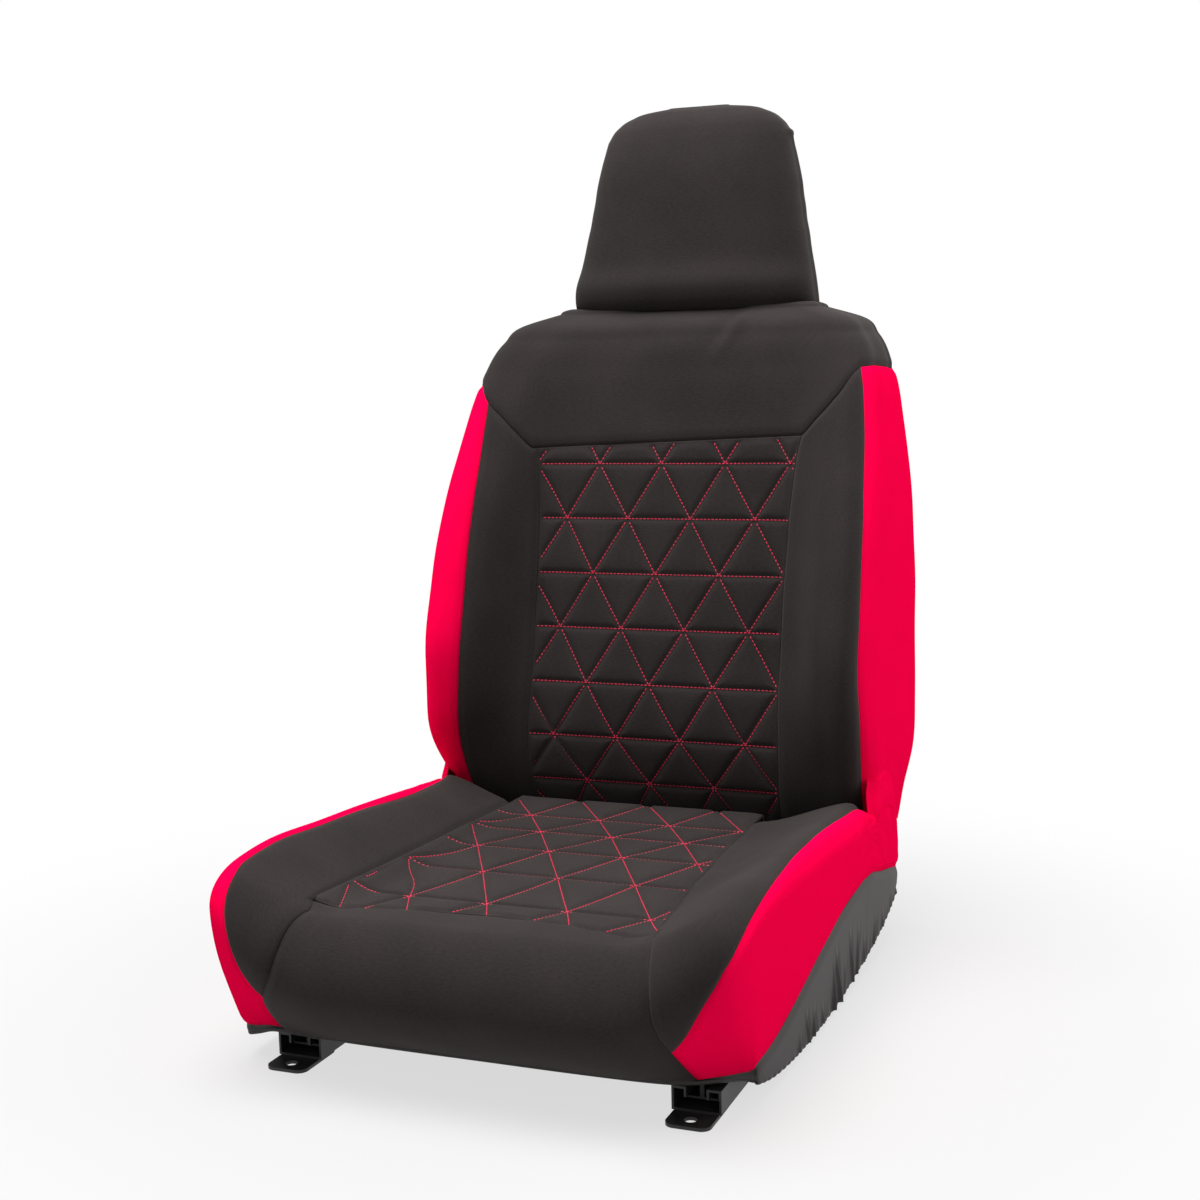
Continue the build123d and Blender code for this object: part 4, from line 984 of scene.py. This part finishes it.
class HeadrestCover(bpy.types.Operator):
    """Makes the headrest's hood, and the foam that shows under its hem."""

    bl_idname = "seat.headrest_cover"
    bl_label = "Headrest hood"

    @staticmethod
    def form(turn, z, inset=0.0):
        """Rounded-box section: a superellipse whose size follows the headrest's stations."""
        half, middle, deep = (follow(z, HEAD_STATIONS[:, 0], HEAD_STATIONS[:, i]) for i in (1, 2, 3))
        power = 2 / 3.2
        x = (half - inset) * np.sign(np.cos(turn)) * np.abs(np.cos(turn)) ** power
        y = middle + (deep - inset) * np.sign(np.sin(turn)) * np.abs(np.sin(turn)) ** power
        return np.stack(np.broadcast_arrays(x, y, z), -1)

    def execute(self, context):
        wall = cloth_sizes(context.scene.seat_cover)[0]
        black = finish_of("knitted_polyester_black")
        foam = finish_of("moulded_foam_grey")

        turn = np.linspace(0, 2 * math.pi, 241)[:-1][None, :] + math.pi / 2
        b = np.linspace(0, 1, 110)[:, None]
        # the hem hangs a little lower on the sitter's left
        hem = HOOD_HEM - 2.0 * np.cos(turn) + 4.0 * np.cos(turn) ** 4
        z = hem + (HEAD_TOP - hem) * (1 - (1 - b) ** 1.5)
        lower = self.form(turn, z)
        rim = lower[-1:]
        c = np.linspace(0, 1, 11)[1:, None]
        x = rim[..., 0] * (1 - 0.15 * c)
        y = rim[..., 1] + (390 - rim[..., 1]) * c
        top = HEAD_TOP + 1.2 * np.sqrt(1 - (1 - c) ** 2) + 0 * x
        grid = np.concatenate([lower, np.stack([x, y, top], -1)])
        normal = grid_normals(grid)
        front = np.clip(-normal[..., 1], 0, 1)
        flank = np.abs(normal[..., 0])
        gx, gy, gz = np.moveaxis(grid, 2, 0)
        # the lower front stands forward over the foam's thick foot, and the hem turns under it
        relief = 7.0 * front * bell(gz - 702, 19) - 6.5 * front * bell(gz - 676, 7)
        relief = relief + 0.8 * front * np.sin(gx / 31 + 0.8) * bell(gz - 705, 26)
        # side seams from the hem to the upper corners, with a puckered edge
        middle = follow(gz, HEAD_STATIONS[:, 0], HEAD_STATIONS[:, 2])
        seam = bell(gy - middle, 3.0) * flank
        relief = relief - 1.4 * seam * (gz < 880)
        relief = relief + 0.3 * flank * np.sin(gz / 6.5 + 2 * np.sin(gz / 25)) * bell(gy - 380, 26)
        # the corners of the top seam stand out as two small ears
        relief = relief + 4.5 * bell(gz - 866, 4.5) * bell(gy - middle, 9) * flank
        relief = relief + 0.7 * ripple(gx, gy, gz, 120)
        relief[-6:] *= np.linspace(1, 0, 6)[:, None]
        cover_panel("headrest_hood_cover", raised(grid, relief), wall, black, "headrest", "headrest_hood",
                    close=True)

        # foam: the same form made smaller, closed below between the posts
        low, high = 689.0, 874.0
        z = np.linspace(low, high, 30)[:, None]
        body = self.form(turn, z, FOAM_INSET)
        foot, head = body[:1], body[-1:]
        shrink = np.linspace(1, 0, 12)[:-1, None]
        under = np.stack([foot[..., 0] * (1 - 0.8 * shrink), foot[..., 1] + (366 - foot[..., 1]) * shrink,
                          low - 2 * shrink + 0 * foot[..., 0]], -1)
        lid = 1 - shrink[::-1]
        over = np.stack([head[..., 0] * (1 - 0.6 * lid), head[..., 1] + (389 - head[..., 1]) * lid,
                         high + 6 * lid + 0 * head[..., 0]], -1)
        cover_panel("headrest_foam_pad", np.concatenate([under, body, over]), 0, foam, "headrest",
                    "headrest_foam", close=True, slot="foam")
        return {"FINISHED"}


class CushionFoam(bpy.types.Operator):
    """Makes the foam pad that shows under the cushion and behind it."""

    bl_idname = "seat.cushion_foam"
    bl_label = "Cushion foam"

    def execute(self, context):
        foam = finish_of("moulded_foam_grey")
        y = np.linspace(-262, 176, 80)[None, :]
        a = np.linspace(0, 2 * math.pi, 97)[:-1][:, None]
        # each section across is a rounded box between the frame and the cover
        power = 2 / 6
        half = 226 - 50 * ease(-y, 215, 275)
        low = 54 + 0 * y + 36 * ease(-y, 165, 262)
        x = half * np.sign(np.cos(a)) * np.abs(np.cos(a)) ** power
        high = cushion_top(x, y) - 13 - 30 * ease(-y, 225, 268) - 12 * ease(np.abs(x), 205, 226)
        z = (low + high) / 2 + (high - low) / 2 * np.sign(np.sin(a)) * np.abs(np.sin(a)) ** power
        grid = np.stack(np.broadcast_arrays(x, y, z), -1)
        first = grid[:, :1].mean(0, keepdims=True) + 0 * grid[:, :1]
        last = grid[:, -1:].mean(0, keepdims=True) + 0 * grid[:, :1]
        grid = np.concatenate([first, grid, last], 1).transpose(1, 0, 2)
        cover_panel("cushion_foam_pad", grid, 0, foam, "carriage", flip=True, close=True, slot="foam")
        return {"FINISHED"}


class HingeWraps(bpy.types.Operator):
    """Makes the slack red cloth that crosses from the cushion's side to the backrest's on each side."""

    bl_idname = "seat.hinge_wraps"
    bl_label = "Hinge wraps"

    def execute(self, context):
        red = finish_of("knitted_polyester_red")
        for side_name, side in SIDES.items():
            k = np.linspace(0, 1, 40)[:, None]
            # the front end leans back with the height, so that it stays behind the cushion and the bolster
            first = -44 + 30 * k
            share = np.linspace(0, 1, 100)[None, :]
            turn = first + (52 - first) * share
            reach = 56 + 42 * k
            y = HINGE_Y + reach * np.sin(np.radians(turn))
            z = HINGE_Z + reach * np.cos(np.radians(turn))
            # from the cushion's red side out to the backrest's
            half = back_size(z)[0] + LOW_SPREAD[side] * bell(z - LOW_SPREAD_Z, LOW_SPREAD_REACH)
            x = BAND_FACE + (half + 0.8 - BAND_FACE) * ease(k, 0.35, 1)
            x = x + 0.4 * np.sin(turn / 4.2 + 3.2 * k) * k * (1 - k) * 4
            x = x - 3.0 * (1 - ease(k, 0.0, 0.14)) - 3.0 * ease(k, 0.86, 1.0)
            # both ends dive inwards, round the edge of the backrest
            x = x - 9 * (1 - ease(share, 0, 0.12)) - 8 * ease(share, 0.86, 1)
            grid = np.stack(np.broadcast_arrays(side * x, y, z), -1)
            piece = grid_object(f"hinge_wrap_{side_name}", grid, flip=side < 0)
            add_wall(piece, 1.2)
            piece.data.materials.append(red)
            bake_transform(piece)
        return {"FINISHED"}


class Metalwork(bpy.types.Operator):
    """Gives the rails, frame, recliner, springs, posts and mouldings their finishes."""

    bl_idname = "seat.metalwork"
    bl_label = "Metalwork finishes"

    def execute(self, context):
        for finish, names in METALWORK.items():
            for name in names:
                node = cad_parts[name]
                for slot in node.material_slots:
                    slot.material = finish_of(finish)
                if not node.material_slots:
                    node.data.materials.append(finish_of(finish))
        return {"FINISHED"}


class Stage(bpy.types.Operator):
    """Makes the pale floor, the soft lights, the world and the camera."""

    bl_idname = "seat.stage"
    bl_label = "Stage"

    def execute(self, context):
        scene = context.scene
        scene.view_settings.view_transform = "Standard"

        # floor: a large pale sheet just under the feet, which keeps the shadow and melts into the white
        span = np.linspace(-6000, 6000, 3)
        grid = np.stack(np.broadcast_arrays(span[None, :], span[:, None], -0.2 + 0 * span[None, :]), -1)
        floor = grid_object("floor", grid)
        material, tree, output = new_material("pale_floor_paint")
        white = add_node(tree, "ShaderNodeEmission", {"Color": (1, 1, 1, 1), "Strength": 1.0})
        paint = add_node(tree, "ShaderNodeBsdfDiffuse", {"Color": (*linear("#bcbcbc"), 1)})
        place = add_node(tree, "ShaderNodeTexCoord")
        away = add_node(tree, "ShaderNodeVectorMath", {}, {0: (place, "Object")}, operation="LENGTH")
        # the painted floor keeps its shadow near the seat and is plain white from 0.95 m outwards
        share = add_node(tree, "ShaderNodeMapRange",
                         {"From Min": 0.3, "From Max": 0.95, "To Min": 0.68, "To Max": 1.0},
                         {"Value": (away, "Value")}, interpolation_type="SMOOTHSTEP")
        seen = add_node(tree, "ShaderNodeMath", {}, {0: (self.seen_directly(tree), "Value"),
                                                     1: (share, "Result")}, operation="MULTIPLY")
        mix = add_node(tree, "ShaderNodeMixShader", {}, {0: (seen, "Value"), 1: (paint, "BSDF"),
                                                        2: (white, "Emission")})
        tree.links.new(mix.outputs["Shader"], output.inputs["Surface"])
        floor.data.materials.append(material)

        world = bpy.data.worlds.new("studio")
        scene.world = world
        world.use_nodes = True
        tree = world.node_tree
        tree.nodes.clear()
        backdrop = add_node(tree, "ShaderNodeBackground", {"Color": (1, 1, 1, 1), "Strength": 1.0})
        ambient = add_node(tree, "ShaderNodeBackground", {"Color": (1, 1, 1, 1), "Strength": 0.22})
        mix = add_node(tree, "ShaderNodeMixShader", {}, {0: (self.seen_directly(tree), "Value"),
                                                        1: (ambient, "Background"),
                                                        2: (backdrop, "Background")})
        add_node(tree, "ShaderNodeOutputWorld", {}, {"Surface": (mix, "Shader")})

        for name, place, aim, size, power in LAMPS:
            lamp = bpy.data.lights.new(name, "AREA")
            lamp.size = size
            lamp.energy = power
            holder = bpy.data.objects.new(name, lamp)
            scene.collection.objects.link(holder)
            holder.location = place
            holder.rotation_euler = (Vector(aim) - Vector(place)).to_track_quat("-Z", "Y").to_euler()

        self.camera(scene)
        return {"FINISHED"}

    @staticmethod
    def seen_directly(tree):
        """Value of 1 where the stage is looked at, straight, mirrored or through glass, and else 0."""
        path = add_node(tree, "ShaderNodeLightPath")
        either = add_node(tree, "ShaderNodeMath", {},
                          {0: (path, "Is Camera Ray"), 1: (path, "Is Glossy Ray")}, operation="MAXIMUM")
        return add_node(tree, "ShaderNodeMath", {},
                        {0: (either, "Value"), 1: (path, "Is Transmission Ray")}, operation="MAXIMUM")

    @staticmethod
    def camera(scene):
        """Camera from the seat's front left, a little above it, as turns about Z, the level and its axis."""
        yaw, pitch, roll = (math.radians(turn) for turn in CAMERA_TURNS)
        ahead = Vector((-math.sin(yaw) * math.cos(pitch), math.cos(yaw) * math.cos(pitch), -math.sin(pitch)))
        right = Vector((math.cos(yaw), math.sin(yaw), 0))
        up = right.cross(ahead)
        across = math.cos(roll) * right + math.sin(roll) * up
        lens_up = -math.sin(roll) * right + math.cos(roll) * up
        data = bpy.data.cameras.new("camera")
        data.lens = CAMERA_LENS
        data.sensor_width = 36.0
        camera = bpy.data.objects.new("camera", data)
        scene.collection.objects.link(camera)
        turn = Matrix((across, lens_up, -ahead)).transposed().to_4x4()
        camera.matrix_world = Matrix.Translation(CAMERA_PLACE) @ turn
        scene.camera = camera


class SeatPanel(bpy.types.Panel):
    """Lists the steps and sizes in the sidebar."""

    bl_idname = "VIEW3D_PT_seat_cover"
    bl_label = "Seat"
    bl_space_type = "VIEW_3D"
    bl_region_type = "UI"
    bl_category = "Seat"

    def draw(self, context):
        for name in SeatCoverSettings.__annotations__:
            self.layout.prop(context.scene.seat_cover, name)
        for operator in OPERATORS:
            self.layout.operator(operator.bl_idname)


OPERATORS = (BackCover, CushionCover, Stitching, HeadrestCover, CushionFoam, HingeWraps, Metalwork, Stage)
CLASSES = (SeatCoverSettings, *OPERATORS, SeatPanel)


def register():
    for item in CLASSES:
        bpy.utils.register_class(item)
    bpy.types.Scene.seat_cover = PointerProperty(type=SeatCoverSettings)


def unregister():
    del bpy.types.Scene.seat_cover
    for item in reversed(CLASSES):
        bpy.utils.unregister_class(item)


def main():
    register()
    bpy.ops.seat.back_cover()
    bpy.ops.seat.cushion_cover()
    bpy.ops.seat.stitching()
    bpy.ops.seat.headrest_cover()
    bpy.ops.seat.cushion_foam()
    bpy.ops.seat.hinge_wraps()
    bpy.ops.seat.metalwork()
    bpy.ops.seat.stage()


if __name__ == "__main__":
    main()
